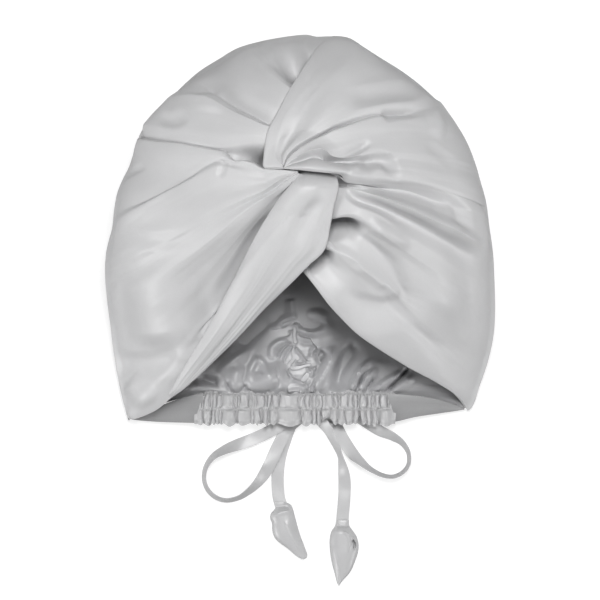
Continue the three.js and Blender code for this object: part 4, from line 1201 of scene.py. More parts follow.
# The left front, from the crown to the valley beside the band
LEFT_FRONT = ClothSheet(
    "left_front_cloth",
    ribs=[
        Rib([(298, 172), (286, 171.2), (276.7, 170.8), (264, 169.4), (254.8, 164), (243.4, 161.8),
             (236.5, 162), (230, 157), (225.9, 152), (217.9, 151.2), (200.4, 148), (180.4, 143.8),
             (160.3, 141.8), (144.2, 139.2), (136, 138)],
            [(0, 1.6), (0.3, 1.4), (0.45, 0.4), (0.9, 0.2), (1, 0.4)], (0, 2.2)),
        Rib([(298, 173), (286, 172.8), (276.7, 172.5), (263, 171.4), (254, 166), (243.4, 163.8),
             (236.5, 164), (229, 160), (223, 154.5), (217, 153), (200, 149.8), (180, 145.6), (160, 143.6),
             (144, 141), (135, 140)], [(0, 3.2), (0.3, 4), (0.45, 3), (0.9, 2.6), (1, 0.8)]),
        Rib([(298, 173.4), (280, 174), (262, 174.5), (246, 169), (234, 167), (222, 162.5), (208, 167),
             (193, 177), (175, 188), (150, 200), (116, 212)],
            [(0, 3), (0.2, 3.4), (0.4, 2.2), (0.55, 1.4), (0.75, 1.6), (1, 0.9)]),
        Rib([(298, 173.8), (280, 175.6), (262, 179), (245, 175), (230, 170), (219, 169.5), (203, 177),
             (187, 186), (165, 197), (113, 226)], [(0, 3), (0.25, 3.6), (0.5, 4), (0.75, 3.4), (1, 0.9)]),
        Rib([(298, 174), (281, 177.5), (266, 183), (245, 185), (222, 190), (190, 204), (152, 222),
             (109, 248)], [(0, 3), (0.2, 3), (0.5, 3.2), (1, 0.9)]),
        Rib([(298, 174), (284.4, 180), (273, 187.6), (260, 194.5), (245, 201), (215, 216), (170, 240),
             (106, 272)], [(0, 3), (0.12, 4), (0.3, 4), (0.6, 3.6), (1, 0.9)], (0.5, 1.4)),
        Rib([(298.4, 174.4), (285.4, 182), (274, 190.3), (262, 197), (247, 204), (217, 221), (172, 247),
             (106, 286)], [(0, 2.6), (0.12, 2.2), (0.25, 2.8), (0.4, 3.4), (1, 0.9)], (1, 1)),
        Rib([(299, 175), (288, 183.5), (275, 194), (257, 204.5), (238, 218), (222, 231), (190, 255),
             (150, 280), (107, 305)],
            [(0, 3), (0.12, 3.8), (0.35, 4.4), (0.5, 4.2), (0.8, 2.6), (1, 0.9)], (0.3, 0.9)),
        Rib([(300, 176), (290, 187), (273, 201), (253, 219), (235, 236), (205, 263), (165, 296),
             (110, 335)], [(0, 2.4), (0.2, 1.8), (0.4, 1.6), (0.6, 2.4), (1, 0.9)]),
        Rib([(302, 176), (289.5, 188), (271, 207), (249, 234), (225, 268), (196, 305), (160, 340),
             (113, 365)], [(0, 1.8), (0.15, 0.6), (0.3, -0.8), (0.42, -0.8), (0.58, 1.8), (1, 0.9)]),
        Rib([(304, 176), (292, 190), (275, 213), (256, 241), (237, 275), (214, 316), (187, 351), (158, 385),
             (120, 398)],
            [(0, 1.4), (0.15, -1), (0.27, -4.8), (0.4, -6.2), (0.46, -4), (0.53, -0.2), (0.59, 2.2),
             (1, 0.9)]),
        Rib([(308, 178), (299, 200), (286, 225), (271, 250), (256, 275), (236, 310), (210, 349), (184, 382),
             (160, 405.5), (145, 413.5), (129, 419.5)],
            [(0, 1), (0.2, -4), (0.34, -7.4), (0.44, -5.6), (0.52, 0.6), (0.6, 2.4), (0.9, 2.4), (1, 0.6)]),
    ],
    dents=[
        Dent([(226, 161), (225, 170), (222, 180)], -0.8, 4, 4),
        Dent([(125, 235), (165, 240), (200, 232)], -1, 7, 8, 0.3, 0.5),
        Dent([(120, 180), (135, 172), (150, 166)], -0.6, 4, 4),
        Dent([(164, 250), (164, 300), (168, 352)], 5.2, 30, 30, 0.5, 0.25),
        Dent([(112, 362), (140, 364), (170, 360), (186, 350)], -1.8, 11, 12, 0.2, 0.3),
        Dent([(126, 380), (140, 392), (152, 405)], 2.2, 12, 12, 0.3, 0.3),
    ],
    rows=190, seed=41, tuck=1.5, tuck_reach=0.1, relief=1.8,
)


@dataclass(frozen=True)
class BandForm:
    """The band that comes out of the twist and makes the left edge of the opening."""

    left: Places = (
        (300, 166), (303, 172.5), (293.9, 182.2), (282.4, 196), (270.9, 212.1), (259.4, 230.5),
        (248, 252.3), (237.6, 275), (224, 300), (204.4, 333), (189.6, 357), (177, 378), (165, 398),
    )
    right: Places = (
        (338.5, 166), (338, 176.5), (337.5, 186.8), (335.2, 201.8), (329.5, 222.4), (328.9, 232.8),
        (326, 246.5), (321.4, 253.4), (311.1, 262.6), (298.5, 275.5), (280, 293.7), (263.4, 310),
        (240, 335), (215, 359.5), (190, 382), (168, 400),
    )
    places_along: int = 15
    profiles: Sequence[tuple[float, Heights, float | tuple[float, float]]] = (
        (0, [(0, 1.4), (0.1, 2.6), (0.9, 2.4), (1, 1.4)], (0, 2.2)),
        (0.05, [(0, 2.6), (0.1, 4.4), (0.9, 3.4), (1, 1.8)], 0),
        (0.26, [(0, 3.2), (0.15, 7), (0.6, 6.2), (0.9, 4), (1, 2)], 0),
        (0.45, [(0, 3.2), (0.12, 6.4), (0.3, 6.2), (0.6, 6.2), (0.9, 4.2), (1, 2)], 0),
        (0.6, [(0, 3.2), (0.12, 5.4), (0.3, 5.2), (0.5, 5.4), (0.9, 4.2), (1, 2)], 0),
        (0.76, [(0, 3.2), (0.15, 4.8), (0.32, 4.8), (0.6, 5), (0.9, 4), (1, 2)], 0),
        (0.9, [(0, 3), (0.15, 3.8), (0.32, 3.2), (0.6, 3.8), (0.9, 3.4), (1, 1.8)], 0),
        (0.96, [(0, 2.6), (0.1, 3.2), (0.6, 3), (0.9, 2.8), (1, 1.6)], 0),
        (1, [(0, 1.4), (0.1, 2.2), (0.4, 2.2), (0.6, 1.6), (1, 1.2)], (2.2, 0)),
    )
    dents: Sequence[Dent] = (
        Dent([(320, 192), (309, 210), (298, 230), (286, 248)], -1.6, 8, 7, 0.3, 0.4),
        Dent([(324, 240), (326, 228)], -0.5, 1.5, 1.5),
    )

    def sheet(self) -> ClothSheet:
        """The band's cloth: each profile stands on a line a share of the way between the edges.

        Returns:
            The sheet, whose ribs are the profiles.
        """
        shares = np.linspace(0, 1, self.places_along)
        left, right = (evenly(soft_line(np.array(edge, float)), shares) for edge in (self.left, self.right))
        ribs = [
            Rib([tuple(place) for place in mix(left, right, share)], heights, crisp)
            for share, heights, crisp in self.profiles
        ]
        return ClothSheet(
            "front_band_cloth", ribs, self.dents, rows=210, reaches_rim=False, gather_power=1.05, seed=51,
            wander=0.3, spacing=1.0, tuck=10.0, tuck_reach=0.1,
        )


@dataclass(frozen=True)
class TurbanFront:
    """The front: a sheet from each side, crossed in a twist, and the band that comes out of it."""

    wardrobe: Wardrobe
    cloth: float = 0.8
    join_reach: float = 0.03

    def piece(self, sheet: ClothSheet, *nodes: str) -> Piece:
        """One sheet, dressed.

        Args:
            sheet: The sheet.
            nodes: The solids that the piece stands for.

        Returns:
            The piece.
        """
        piece = cloth_grid(sheet.name, sheet.grid())
        dress(piece, self.wardrobe, self.cloth, "satin", *nodes)
        return piece

    def right_front(self) -> Piece:
        """The right front, whose two halves are joined along the crease out of the twist.

        Returns:
            The piece.
        """
        halves = [cloth_grid(sheet.name, sheet.grid()) for sheet in (RIGHT_CROWN, RIGHT_CHEEK)]
        for half in halves:
            face_away(half, INSIDE_THE_CAP)
        choose(*halves)
        bpy.ops.object.join()
        weld(halves[0], self.join_reach)
        dress(halves[0], self.wardrobe, self.cloth, "satin", "right_front_panel", "twist_fold")
        return halves[0]

    def build(self) -> list[Piece]:
        """The four pieces of cloth that show.

        Returns:
            The pieces.
        """
        crown = self.piece(CROWN_LEFT, "crown_left_panel")
        right = self.right_front()
        left = self.piece(LEFT_FRONT, "left_front_panel")
        band = self.piece(BandForm().sheet(), "front_band")
        return [crown, right, left, band]


# The back


@dataclass(frozen=True)
class BackHalf:
    """One half of the back: where its ribs run from the seam to the side fold, and its folds."""

    hand: Hand
    seam: float
    runs: Sequence[Places]
    dents: Sequence[Dent]
    seed: int
    starts: Sequence[float] = (44, 75, 120, 170, 225, 280, 328, 365, 394.4)

    def sheet(self) -> ClothSheet:
        """Its cloth, flat but for the folds.

        Returns:
            The sheet.
        """
        flat = [(0, 0), (1, 0)]
        ribs = [Rib([(self.seam, start), *run], flat) for start, run in zip(self.starts, self.runs)]
        return ClothSheet(
            f"back_{self.hand.value}_cloth", ribs, self.dents, Side.BACK, rows=150, spacing=1.05,
            gather_power=1.0, relief=1.25, mean_height=0.0, wrinkle=0.4, wander=1.0, seed=self.seed,
        )


LEFT_HALF = BackHalf(
    Hand.LEFT, 298.9,
    runs=[
        [(297.5, 37)], [(270, 55), (238, 45)], [(240, 95), (180, 88)], [(220, 150), (135, 155)],
        [(200, 220), (112, 225)], [(200, 285), (106, 290)], [(205, 342), (115, 355)],
        [(230, 373), (165, 389), (119, 395)], [(240, 394.5), (200, 394.5), (165, 403), (127, 419)],
    ],
    dents=[
        Dent([(250, 396), (262, 388), (272, 376), (268, 362)], 5, 16, 9, 0.1, 0.4),
        Dent([(244, 398.5), (258, 397.5), (270, 394.5), (279, 390.5), (282, 384), (279.5, 376),
              (278.5, 368), (274.5, 360)], 3, 2.4, 8, 0.1, 0.15, 0.7),
        Dent([(274, 361), (271, 354), (272.3, 347), (279, 342), (290, 340)], 2.6, 2.6, 6, 0.15, 0.2, 0.8),
        Dent([(237, 397), (235, 384), (236, 374), (243, 364)], 3.4, 7, 7, 0.1, 0.35),
        Dent([(249, 386), (250, 372), (254, 362), (258, 354)], 2.2, 3.6, 5, 0.3, 0.3, 0.9),
        Dent([(254, 358.5), (261, 362), (267, 372), (270, 379)], 2.2, 4, 3, 0.2, 0.3, 0.9),
        Dent([(216, 380), (226, 366), (241, 355), (254, 349)], 2.4, 4, 8, 0.3, 0.3, 0.7),
        Dent([(230, 396), (229, 388), (225, 379)], -3.6, 2.4, 4, 0, 0.6),
        Dent([(241, 395), (244, 388), (250, 384)], -3.4, 2.4, 3, 0, 0.5),
        Dent([(196, 376), (208, 382), (220, 385)], -4.6, 8, 3, 0.3, 0.2),
        Dent([(234, 352), (250, 334), (266, 316)], -3, 9, 9, 0.3, 0.3),
        Dent([(190, 384), (205, 390), (222, 394), (228, 400)], 2.8, 4, 7, 0.2, 0.1, 0.5),
        Dent([(280, 294), (286, 295.4), (293, 297.5)], -3.6, 1.6, 1.6, 0.15, 0.2),
        Dent([(268, 329), (279, 326.5), (284, 321), (290, 318.4), (296, 318)], 1.8, 5, 1.6, 0.3, 0.05, 0.8),
        Dent([(279, 326.5), (285, 323.5), (291, 321)], -2.4, 1.6, 2.6, 0.2, 0.2),
        Dent([(292, 299), (293, 309), (294, 319)], 1.6, 1.6, 7, 0.1, 0.1, 0.6),
    ],
    seed=61,
)

RIGHT_HALF = BackHalf(
    Hand.RIGHT, 297.9,
    runs=[
        [(299.5, 37)], [(330, 55), (362, 46)], [(360, 95), (425, 92)], [(380, 150), (468, 150)],
        [(395, 220), (488, 225)], [(395, 285), (493, 290)], [(395, 340), (490, 350)],
        [(370, 373), (430, 384), (480, 385)], [(345, 394.5), (396, 394.5), (430, 398), (468, 409)],
    ],
    dents=[
        Dent([(316, 397), (318, 386), (322, 376), (328, 366), (332, 355), (328, 346)], 5, 5, 6, 0.1, 0.25,
              0.7),
        Dent([(315, 362), (320, 357), (326, 350)], -4.6, 5, 5, 0.15, 0.3),
        Dent([(337, 396), (339, 376), (347, 356), (360, 342)], -5.6, 8, 10, 0.05, 0.3),
        Dent([(353, 399), (353, 388), (356, 377), (364, 366), (374, 358)], 6.4, 3.4, 6, 0.05, 0.4, 0.8),
        Dent([(362, 399), (362, 388), (368, 376), (378, 367)], 5, 3, 5, 0.05, 0.4, 0.9),
        Dent([(373, 400), (375, 392), (383, 384), (396, 376), (404, 370)], 3.8, 3.6, 6, 0.05, 0.3, 0.8),
        Dent([(386, 398), (388, 391), (396, 382), (404, 374), (411, 367)], -4.2, 2.4, 3, 0.05, 0.15),
        Dent([(391, 401), (394, 393), (403, 384), (416, 374)], 3.2, 3, 6, 0.05, 0.3, 0.6),
        Dent([(367, 396), (368, 388), (376, 378)], -3, 2.2, 2.2, 0.05, 0.4),
        Dent([(357, 396), (358, 386), (364, 376)], -3, 2, 2, 0.05, 0.4),
        Dent([(332, 340), (322, 322), (312, 304)], 1.4, 9, 9),
        Dent([(297, 323), (306, 325.5), (316, 326), (326, 321)], -3, 4.4, 3, 0.05, 0.3),
        Dent([(296, 328), (306, 331.5), (316, 332.5), (326, 329)], 2.4, 2, 5, 0.05, 0.4, 0.8),
        Dent([(306, 312), (316, 314), (328, 318)], 1.2, 5, 4, 0.2, 0.3, 0.4),
    ],
    seed=71,
)


@dataclass(frozen=True)
class SeamChannel:
    """The strip over the back's seam, drawn up by the elastic in it into ruches that wander."""

    wardrobe: Wardrobe
    cloth: float = 0.6
    middle: float = -2.2
    start: float = -64.0
    end: float = -117.0
    half_widths: tuple[float, float] = (4.0, 16.5)
    widening: tuple[float, float] = (0.0, 1 / 2.2)
    foot_size: float = 0.86
    foot: tuple[float, float] = (0.85, 1 / 6)
    edge_wave: float = 0.06
    waves: float = 31.0
    columns: int = 91
    rows: int = 231
    over_seam: float = -0.8
    off_back: float = 0.9
    swell: float = 1.05
    crease_gain: float = 1.15
    edge_drop: float = 1.5
    deepest: float = -0.8
    lowest: float = 0.9
    side_fade: float = 0.2
    top_fade: float = 1 / 9
    ripple: Ripple = Ripple(0.5, (7, 24), 81)
    creases: Sequence[Dent] = (
        Dent([(290, 322), (293, 320.5), (296, 323), (294, 327)], 2, 3, 3, 0.1, 0.2),
        Dent([(295, 328), (294.6, 336), (296, 344)], -2.2, 1.5, 1.7, 0.2, 0.1),
        Dent([(296, 331), (299, 336.5), (306, 338.8), (313, 340.4), (316, 346), (312.6, 352), (310, 359)],
              2.2, 2, 3.6, 0.1, 0.2, 0.8),
        Dent([(292, 343), (284, 348), (280, 354), (278, 360)], 2.4, 1.8, 2.6, 0.1, 0.2, 0.9),
        Dent([(293, 346), (288, 352), (285, 358), (283, 365)], 1.8, 1.8, 2.2, 0.1, 0.2, 0.9),
        Dent([(296, 345), (293, 351), (294, 358), (290, 364), (287, 369)], -2.4, 1.5, 1.6, 0.1, 0.15),
        Dent([(294, 346.5), (299.5, 353), (306, 361.5)], 2.4, 1.8, 2.2, 0.05, 0.05, 0.9),
        Dent([(306, 362), (301, 364.4), (294.5, 363.5)], 1.6, 1.8, 2.2, 0.1, 0.2, 0.9),
        Dent([(294, 354), (297, 358), (299, 360.5)], -1.8, 2, 2, 0.2, 0.2),
        Dent([(290, 367.6), (297, 367.8), (304, 366), (312, 365)], -2.4, 1.4, 1.6, 0.1, 0.15),
        Dent([(284.4, 366), (286, 374), (286.8, 382), (284.6, 389)], -2.2, 1.6, 1.6, 0.15, 0.2),
        Dent([(286.4, 369.6), (289.6, 375), (293.4, 379.4), (301, 382), (306, 385), (307.6, 391)], 2.6, 1.8,
              2.6, 0.05, 0.1, 0.9),
        Dent([(305.6, 367.6), (312.8, 371), (312, 379)], 2.2, 2, 2, 0.15, 0.3, 0.9),
        Dent([(313, 366.6), (318.6, 373), (318.4, 377.4), (315, 383), (312.4, 388), (312.8, 395)], 2.6, 2,
              2.6, 0.1, 0.1, 0.9),
        Dent([(301, 384), (305, 378), (309, 372)], -1.6, 2.4, 2.4, 0.2, 0.2),
        Dent([(287, 392), (300, 390.6)], 1.6, 3.6, 3, 0.1, 0.1, 0.4),
    )

    def level(self, y: Array) -> Array:
        """The height of the back's inner face along the seam."""
        return CAP.back(CAP.to_disc(np.stack([np.full_like(y, self.over_seam), y], -1)))[:, 2]

    def build(self) -> Piece:
        """The strip, which also shows the elastic.

        Returns:
            The piece.
        """
        across, along = np.linspace(-1, 1, self.columns)[:, None], np.linspace(0, 1, self.rows)[None, :]
        y = mix(self.start, self.end, along) + 0 * across
        width = mix(*self.half_widths, step(along, *self.widening))
        width = width * mix(1, self.foot_size, step(along, *self.foot))
        x = self.middle + across * width * (1 + self.edge_wave * np.sin(along * self.waves + 2 * across))
        edge = smooth((1 - np.abs(across)) / self.side_fade) * smooth(along / self.top_fade)
        relief = sum(crease.at(x, y) for crease in self.creases) + self.ripple.at((across + 1) / 2, along)
        height = self.swell * (1 - across**2) ** 2 + relief * edge * self.crease_gain
        off = self.off_back + np.maximum(height, self.deepest) - self.edge_drop * (1 - edge)
        z = np.maximum(self.level(y[0])[None, :] + off, self.lowest)
        strip = cloth_grid("centre_back_ruching", np.stack([x, y, z], -1))
        face_away(strip, FAR_BELOW)
        # The wrong side's grey, set darker as painted shade.
        self.wardrobe.put_on(strip, Finish.INSIDE)
        thicken(strip, self.cloth)
        shade(strip)
        seat(strip, "satin_inside", "centre_back_channel", "centre_back_elastic")
        return strip


@dataclass(frozen=True)
class Back:
    """The back, seamed down the middle and drawn up at the nape, with the elastic channel over its seam."""

    wardrobe: Wardrobe
    cloth: float = 0.7
    lowest: float = 0.1

    def build(self) -> list[Piece]:
        """Both halves, and the channel with its elastic.

        Returns:
            The pieces.
        """
        pieces = []
        for half in (LEFT_HALF, RIGHT_HALF):
            sheet = half.sheet()
            points = sheet.grid()
            points[..., 2] = np.maximum(points[..., 2], self.lowest)
            piece = cloth_grid(sheet.name, points)
            dress(piece, self.wardrobe, self.cloth, "satin_inside", f"back_{half.hand.value}_panel")
            pieces.append(piece)
        return [*pieces, SeamChannel(self.wardrobe).build()]


# The nape


@dataclass(frozen=True)
class Puffs:
    """Cloth that puffs up between the gaps of a gather, given as places across the picture."""

    gaps: Sequence[float]
    width_share: float = 0.6
    floor_share: float = 0.25
    leans: tuple[float, float] = (0.6, 1.6)
    sizes: tuple[float, float] = (0.7, 1.25)
    rounds: tuple[float, float] = (0.5, 1.1)

    def at(self, x: Array, full: float) -> Array:
        """How high the cloth puffs up.

        Args:
            x: Places along the channel, in the picture.
            full: The height of a wide puff in millimetres.

        Returns:
            The height at each place: sharp at the gaps, and each puff of its own shape between them.
        """
        edges = np.array(self.gaps)
        chance = np.random.default_rng(len(edges)).uniform(0, 1, (4, len(edges)))
        k = np.clip(np.searchsorted(edges, x, side="right") - 1, 0, len(edges) - 2)
        width = edges[k + 1] - edges[k]
        share = np.clip((x - edges[k]) / width, 0, 1) ** mix(*self.leans, chance[0][k])
        top = np.minimum(full, self.width_share * width) * mix(*self.sizes, chance[1][k])
        floor = mix(chance[2][k], chance[2][k + 1], share) * self.floor_share
        return mix(floor, top, np.sin(math.pi * share) ** mix(*self.rounds, chance[3][k]))


@dataclass(frozen=True)
class NapeChannel:
    """The hem that the ribbon runs in: gathered between two rows of stitches, with a ruffle below.

    Its places, from start to foot, are in the picture, and so are the pinches and notches. The
    heights, level and sag are in millimetres.
    """

    wardrobe: Wardrobe
    start: float = 194.0
    end: float = 396.0
    top: float = 391.5
    stitch: float = 409.0
    foot: float = 424.5
    level: float = 9.6
    columns: int = 560
    upper_rows: int = 46
    under_rows: int = 14
    leans: tuple[Ripple, Ripple] = (Ripple(2.6, (40, 3), 91), Ripple(1.3, (90, 5), 92))
    upper_edge: Ripple = Ripple(2.2, (46, 2), 93)
    pinches: tuple[Pinch, Pinch] = (Pinch(0.55, 409.0, 1.5), Pinch(0.5, 393.0, 1.2))
    notches: tuple[Pinch, Pinch] = (Pinch(1.0, 326.5, 5.0), Pinch(0.8, 359.6, 3.0))
    notch_rise: float = 7.5
    notch_depth: float = 1.2
    puff_height: float = 3.2
    ruffle_height: float = 3.8
    ruffle_start: tuple[float, float] = (-0.1, 0.2)
    ruffle_size: float = 0.85
    lobe_height: float = 3.4
    lobe_middle: float = 1.4
    lobe_gain: float = 0.9
    hang_power: float = 1.3
    edge_gain: float = 0.5
    edge_run: float = 0.2
    lean_share: float = 0.25
    end_fade: float = 1 / 22
    roll: float = 1.5
    least_roll: float = 0.2
    under_roll: float = 0.5
    roll_fades: tuple[float, float] = (1 / 8, 1 / 7)
    sag: float = 1.6
    sag_from_middle: tuple[float, float] = (0.28, 0.25)
    channel: Puffs = Puffs((
        190, 194.5, 198, 201.3, 205.2, 209.5, 212.6, 216.8, 221.7, 233, 234.9, 238, 240.4, 248.5, 251.5,
        254.2, 257, 263.3, 266.9, 272.4, 279.6, 298.6, 301.4, 305.2, 309.9, 312.7, 317.6, 322.3, 326.1,
        332.6, 338, 341.6, 348, 353.6, 357.8, 361.4, 366.2, 372, 374.8, 380.4, 386.8, 390.3, 394.5, 400,
    ))
    ruffle: Puffs = Puffs((
        190, 197, 203, 211.6, 215.4, 219.6, 222.8, 236, 238.2, 250.8, 254.6, 259.2, 262.2, 268.8, 276.5,
        301.8, 311.4, 316.2, 322, 331, 337.4, 345, 353.4, 360, 366, 371.6, 377.4, 394.6, 402,
    ))

    def build(self) -> Piece:
        """The gathered channel, as rings that run over its upper side and back under it.

        Returns:
            The piece.
        """
        u = np.linspace(0, 1, self.columns)[:, None]
        down = np.linspace(0, 1, self.upper_rows)
        v = np.concatenate([down, np.linspace(1, 0, self.under_rows)[1:-1]])[None, :]
        under = np.arange(v.shape[1])[None, :] >= self.upper_rows
        px, py = mix(self.start, self.end, u), mix(self.top, self.foot, v) + 0 * u
        past = (py - self.stitch) / (self.foot - self.stitch)
        below = np.clip(past, 0, 1)
        lean = sum(ripple.at(u, v) for ripple in self.leans)
        over = self.channel.at(px + lean * (1 - np.abs(v - 0.5)), self.puff_height)
        hung = self.ruffle.at(px + lean * v, self.ruffle_height)
        lobes = self.ruffle.at(px + 0 * v, self.lobe_height) - self.lobe_middle
        pinch = 1 - sum(stitches.at(py) for stitches in self.pinches)
        notch = sum(notch.at(px) for notch in self.notches)
        ends = between_ends(u, self.end_fade, self.end_fade)
        puffed = mix(over, hung, step(past, *self.ruffle_start))
        height = puffed * pinch * ends * mix(1.0, self.ruffle_size, smooth(past))
        roll = self.roll * between_ends(v, *self.roll_fades) + self.least_roll
        up = np.where(under, -self.under_roll * roll, roll + height - self.notch_depth * notch * below)
        hang = (self.lobe_gain * lobes * ends - self.notch_rise * notch) * below**self.hang_power
        rise = (self.upper_edge.at(u, v) + self.edge_gain * over) * np.clip(1 - v / self.edge_run, 0, 1)
        flat = np.stack([(px + self.lean_share * lean).ravel(), (py + hang + rise).ravel()], 1)
        places = from_picture(flat).reshape(*over.shape, 2)
        z = self.level - self.sag * step(np.abs(u - 0.5), *self.sag_from_middle) + up
        piece = tube("nape_channel_gathers", np.concatenate([places, z[..., None]], 2))
        # A lighter grey than the rest of the inside: painted light on the nape.
        self.wardrobe.put_on(piece, Finish.GATHERED_PAINTED_LIGHT)
        shade(piece)
        seat(
            piece, "satin_inside",
            "nape_channel", "nape_elastic_left", "nape_elastic_right", "drawcord_left", "drawcord_right",
            "buttonhole_edging_left", "buttonhole_edging_right",
        )
        return piece


@dataclass(frozen=True)
class PlainHem:
    """The plain doubled hem that tapers from the channel's end to a lower corner."""

    hand: Hand
    upper: Places
    lower: Places
    rings: int = 90
    levels: tuple[float, float] = (7.1, 3.9)
    wave: float = 0.5
    waves: float = 9.0
    tilt: float = 5.0
    tilt_run: float = 1 / 3
    section: Sequence[tuple[float, float]] = (
        (0, 0.2), (0.06, 0.8), (0.3, 0.9), (0.5, 0.55), (0.6, 0.9), (0.94, 0.8), (1, 0.2), (0.94, -0.5),
        (0.5, -0.6), (0.06, -0.5),
    )

    def build(self, wardrobe: Wardrobe) -> Piece:
        """The hem, whose section is given as shares of its width and heights over its middle.

        Args:
            wardrobe: Where its finish comes from.

        Returns:
            The piece.
        """
        along = np.linspace(0, 1, self.rings)
        top, low = (evenly(soft_line(from_picture(edge)), along) for edge in (self.upper, self.lower))
        part, up = np.array(self.section).T[..., None]
        x, y = mix(top, low, part[..., None]).transpose(2, 1, 0)
        base = mix(*self.levels, smooth(along)) + self.wave * np.sin(along * self.waves) * (1 - along)
        tilt = self.tilt * smooth((1 - along) / self.tilt_run)
        z = base[:, None] + up.T + tilt[:, None] * (1 - part.T)
        piece = tube(f"nape_hem_{self.hand.value}_fold", np.stack([x, y, z], -1))
        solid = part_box(f"nape_hem_{self.hand.value}")
        log.info("hem %s over %s", self.hand.value, [round(v, 4) for v in (*solid[0], *solid[1])])
        # The hem's dark grey is painted shade.
        wardrobe.put_on(piece, Finish.HEM_PAINTED_SHADE)
        shade(piece)
        seat(piece, "satin_inside", f"nape_hem_{self.hand.value}")
        return piece


HEMS = (
    PlainHem(
        Hand.LEFT,
        upper=[(203, 394.5), (198, 394.5), (180, 398.5), (160, 406), (140, 414), (131, 418)],
        lower=[(203, 423.5), (198, 423.5), (180, 423), (160, 422.4), (140, 421), (131, 420)],
    ),
    PlainHem(
        Hand.RIGHT,
        upper=[(388, 394.5), (396, 394.5), (415, 396), (435, 399), (455, 404), (465, 407.5)],
        lower=[(388, 423), (396, 422), (415, 417.6), (435, 414.5), (455, 411.6), (465, 410)],
    ),
)


@dataclass(frozen=True)
class Nape:
    """The nape: the gathered channel, and a plain hem on each side of it."""

    wardrobe: Wardrobe

    def build(self) -> list[Piece]:
        """The channel and both hems."""
        return [NapeChannel(self.wardrobe).build(), *(hem.build(self.wardrobe) for hem in HEMS)]


# The ties


@dataclass(frozen=True)
class Tie:
    """One side's ribbon: its loop, its tail with the bend in it, and the bud's two edges and folds.

    A route gives the place of the ribbon's middle, the height of its lower edge, and its turn from
    flat in degrees. The bud's edges are places in the picture.
    """

    hand: Hand
    bend_at: float
    loop: Route
    tail: Route
    bud_edges: tuple[Places, Places]
    bud_folds: Sequence[Dent]


LEFT_TIE = Tie(
    Hand.LEFT,
    bend_at=-0.0158,
    loop=[
        (4.7, -130.9, 2.6, 0), (-6.1, -136, 3, 0), (-14.8, -141.1, 2.9, 0), (-24.8, -146.6, 2.2, 0),
        (-35.6, -151.4, 1.2, 8), (-45, -154.7, 0.5, 25), (-54.3, -158.3, 0.3, 46), (-63, -163.8, 0.3, 61),
        (-68, -171.7, 0.3, 69), (-68.9, -179.6, 0.3, 71), (-66.4, -186.8, 0.3, 70),
        (-60.8, -192.3, 0.3, 69), (-53.3, -194.7, 0.3, 69), (-44.3, -193, 0.3, 68),
        (-36.3, -187.9, 0.5, 58), (-30.2, -182.1, 0.9, 44), (-25.2, -175.3, 1.4, 24),
        (-21.2, -168.1, 1.7, 6), (-18, -160.9, 1.7, 0), (-14, -152.6, 1.7, 0), (-9, -143.6, 1.7, 0),
        (-2.5, -137.1, 1.7, 0), (5.2, -132.1, 1.7, 0),
    ],
    tail=[
        (7.2, -130.2, 0.6, 0), (-1.8, -135.7, 0.3, 0), (-6.1, -140, 0.3, 0), (-8.6, -145.8, 0.3, 0),
        (-10.8, -152.2, 0.3, 0), (-13, -158.7, 0.3, 0), (-14.5, -165.2, 0.3, 0), (-15.5, -171.7, 0.3, 0),
        (-15.8, -177.4, 0.3, 0), (-15.8, -183.2, 0.3, 0), (-15.5, -188.2, 0.3, 0), (-14.8, -193.3, 0.3, 0),
        (-13.6, -197.6, 0.3, 0),
    ],
    bud_edges=(
        [(274.6, 503), (275, 509), (270.6, 514.5), (269.9, 519), (271.8, 523.5), (272, 530), (274, 537.5),
         (278, 542.4), (288, 549.8), (296.5, 557), (301, 559.8)],
        [(286, 503), (290.6, 505.4), (292.6, 508.8), (294.6, 516), (297.2, 526), (300.2, 536), (303.6, 545),
         (305.6, 550.5), (307.4, 555.8), (306.6, 558.8), (303.4, 560.2)],
    ),
    bud_folds=[
        Dent([(273, 517), (280, 513), (291, 510.5)], 0.9, 1.2, 3.2, 0.1, 0.1, 0.6),
        Dent([(284, 520), (292, 536), (301, 553)], 0.7, 4, 1.6, 0.2, 0.2, 0.5),
        Dent([(276, 507.5), (289, 508)], -0.8, 1.4, 1.4, 0.1, 0.1),
    ],
)

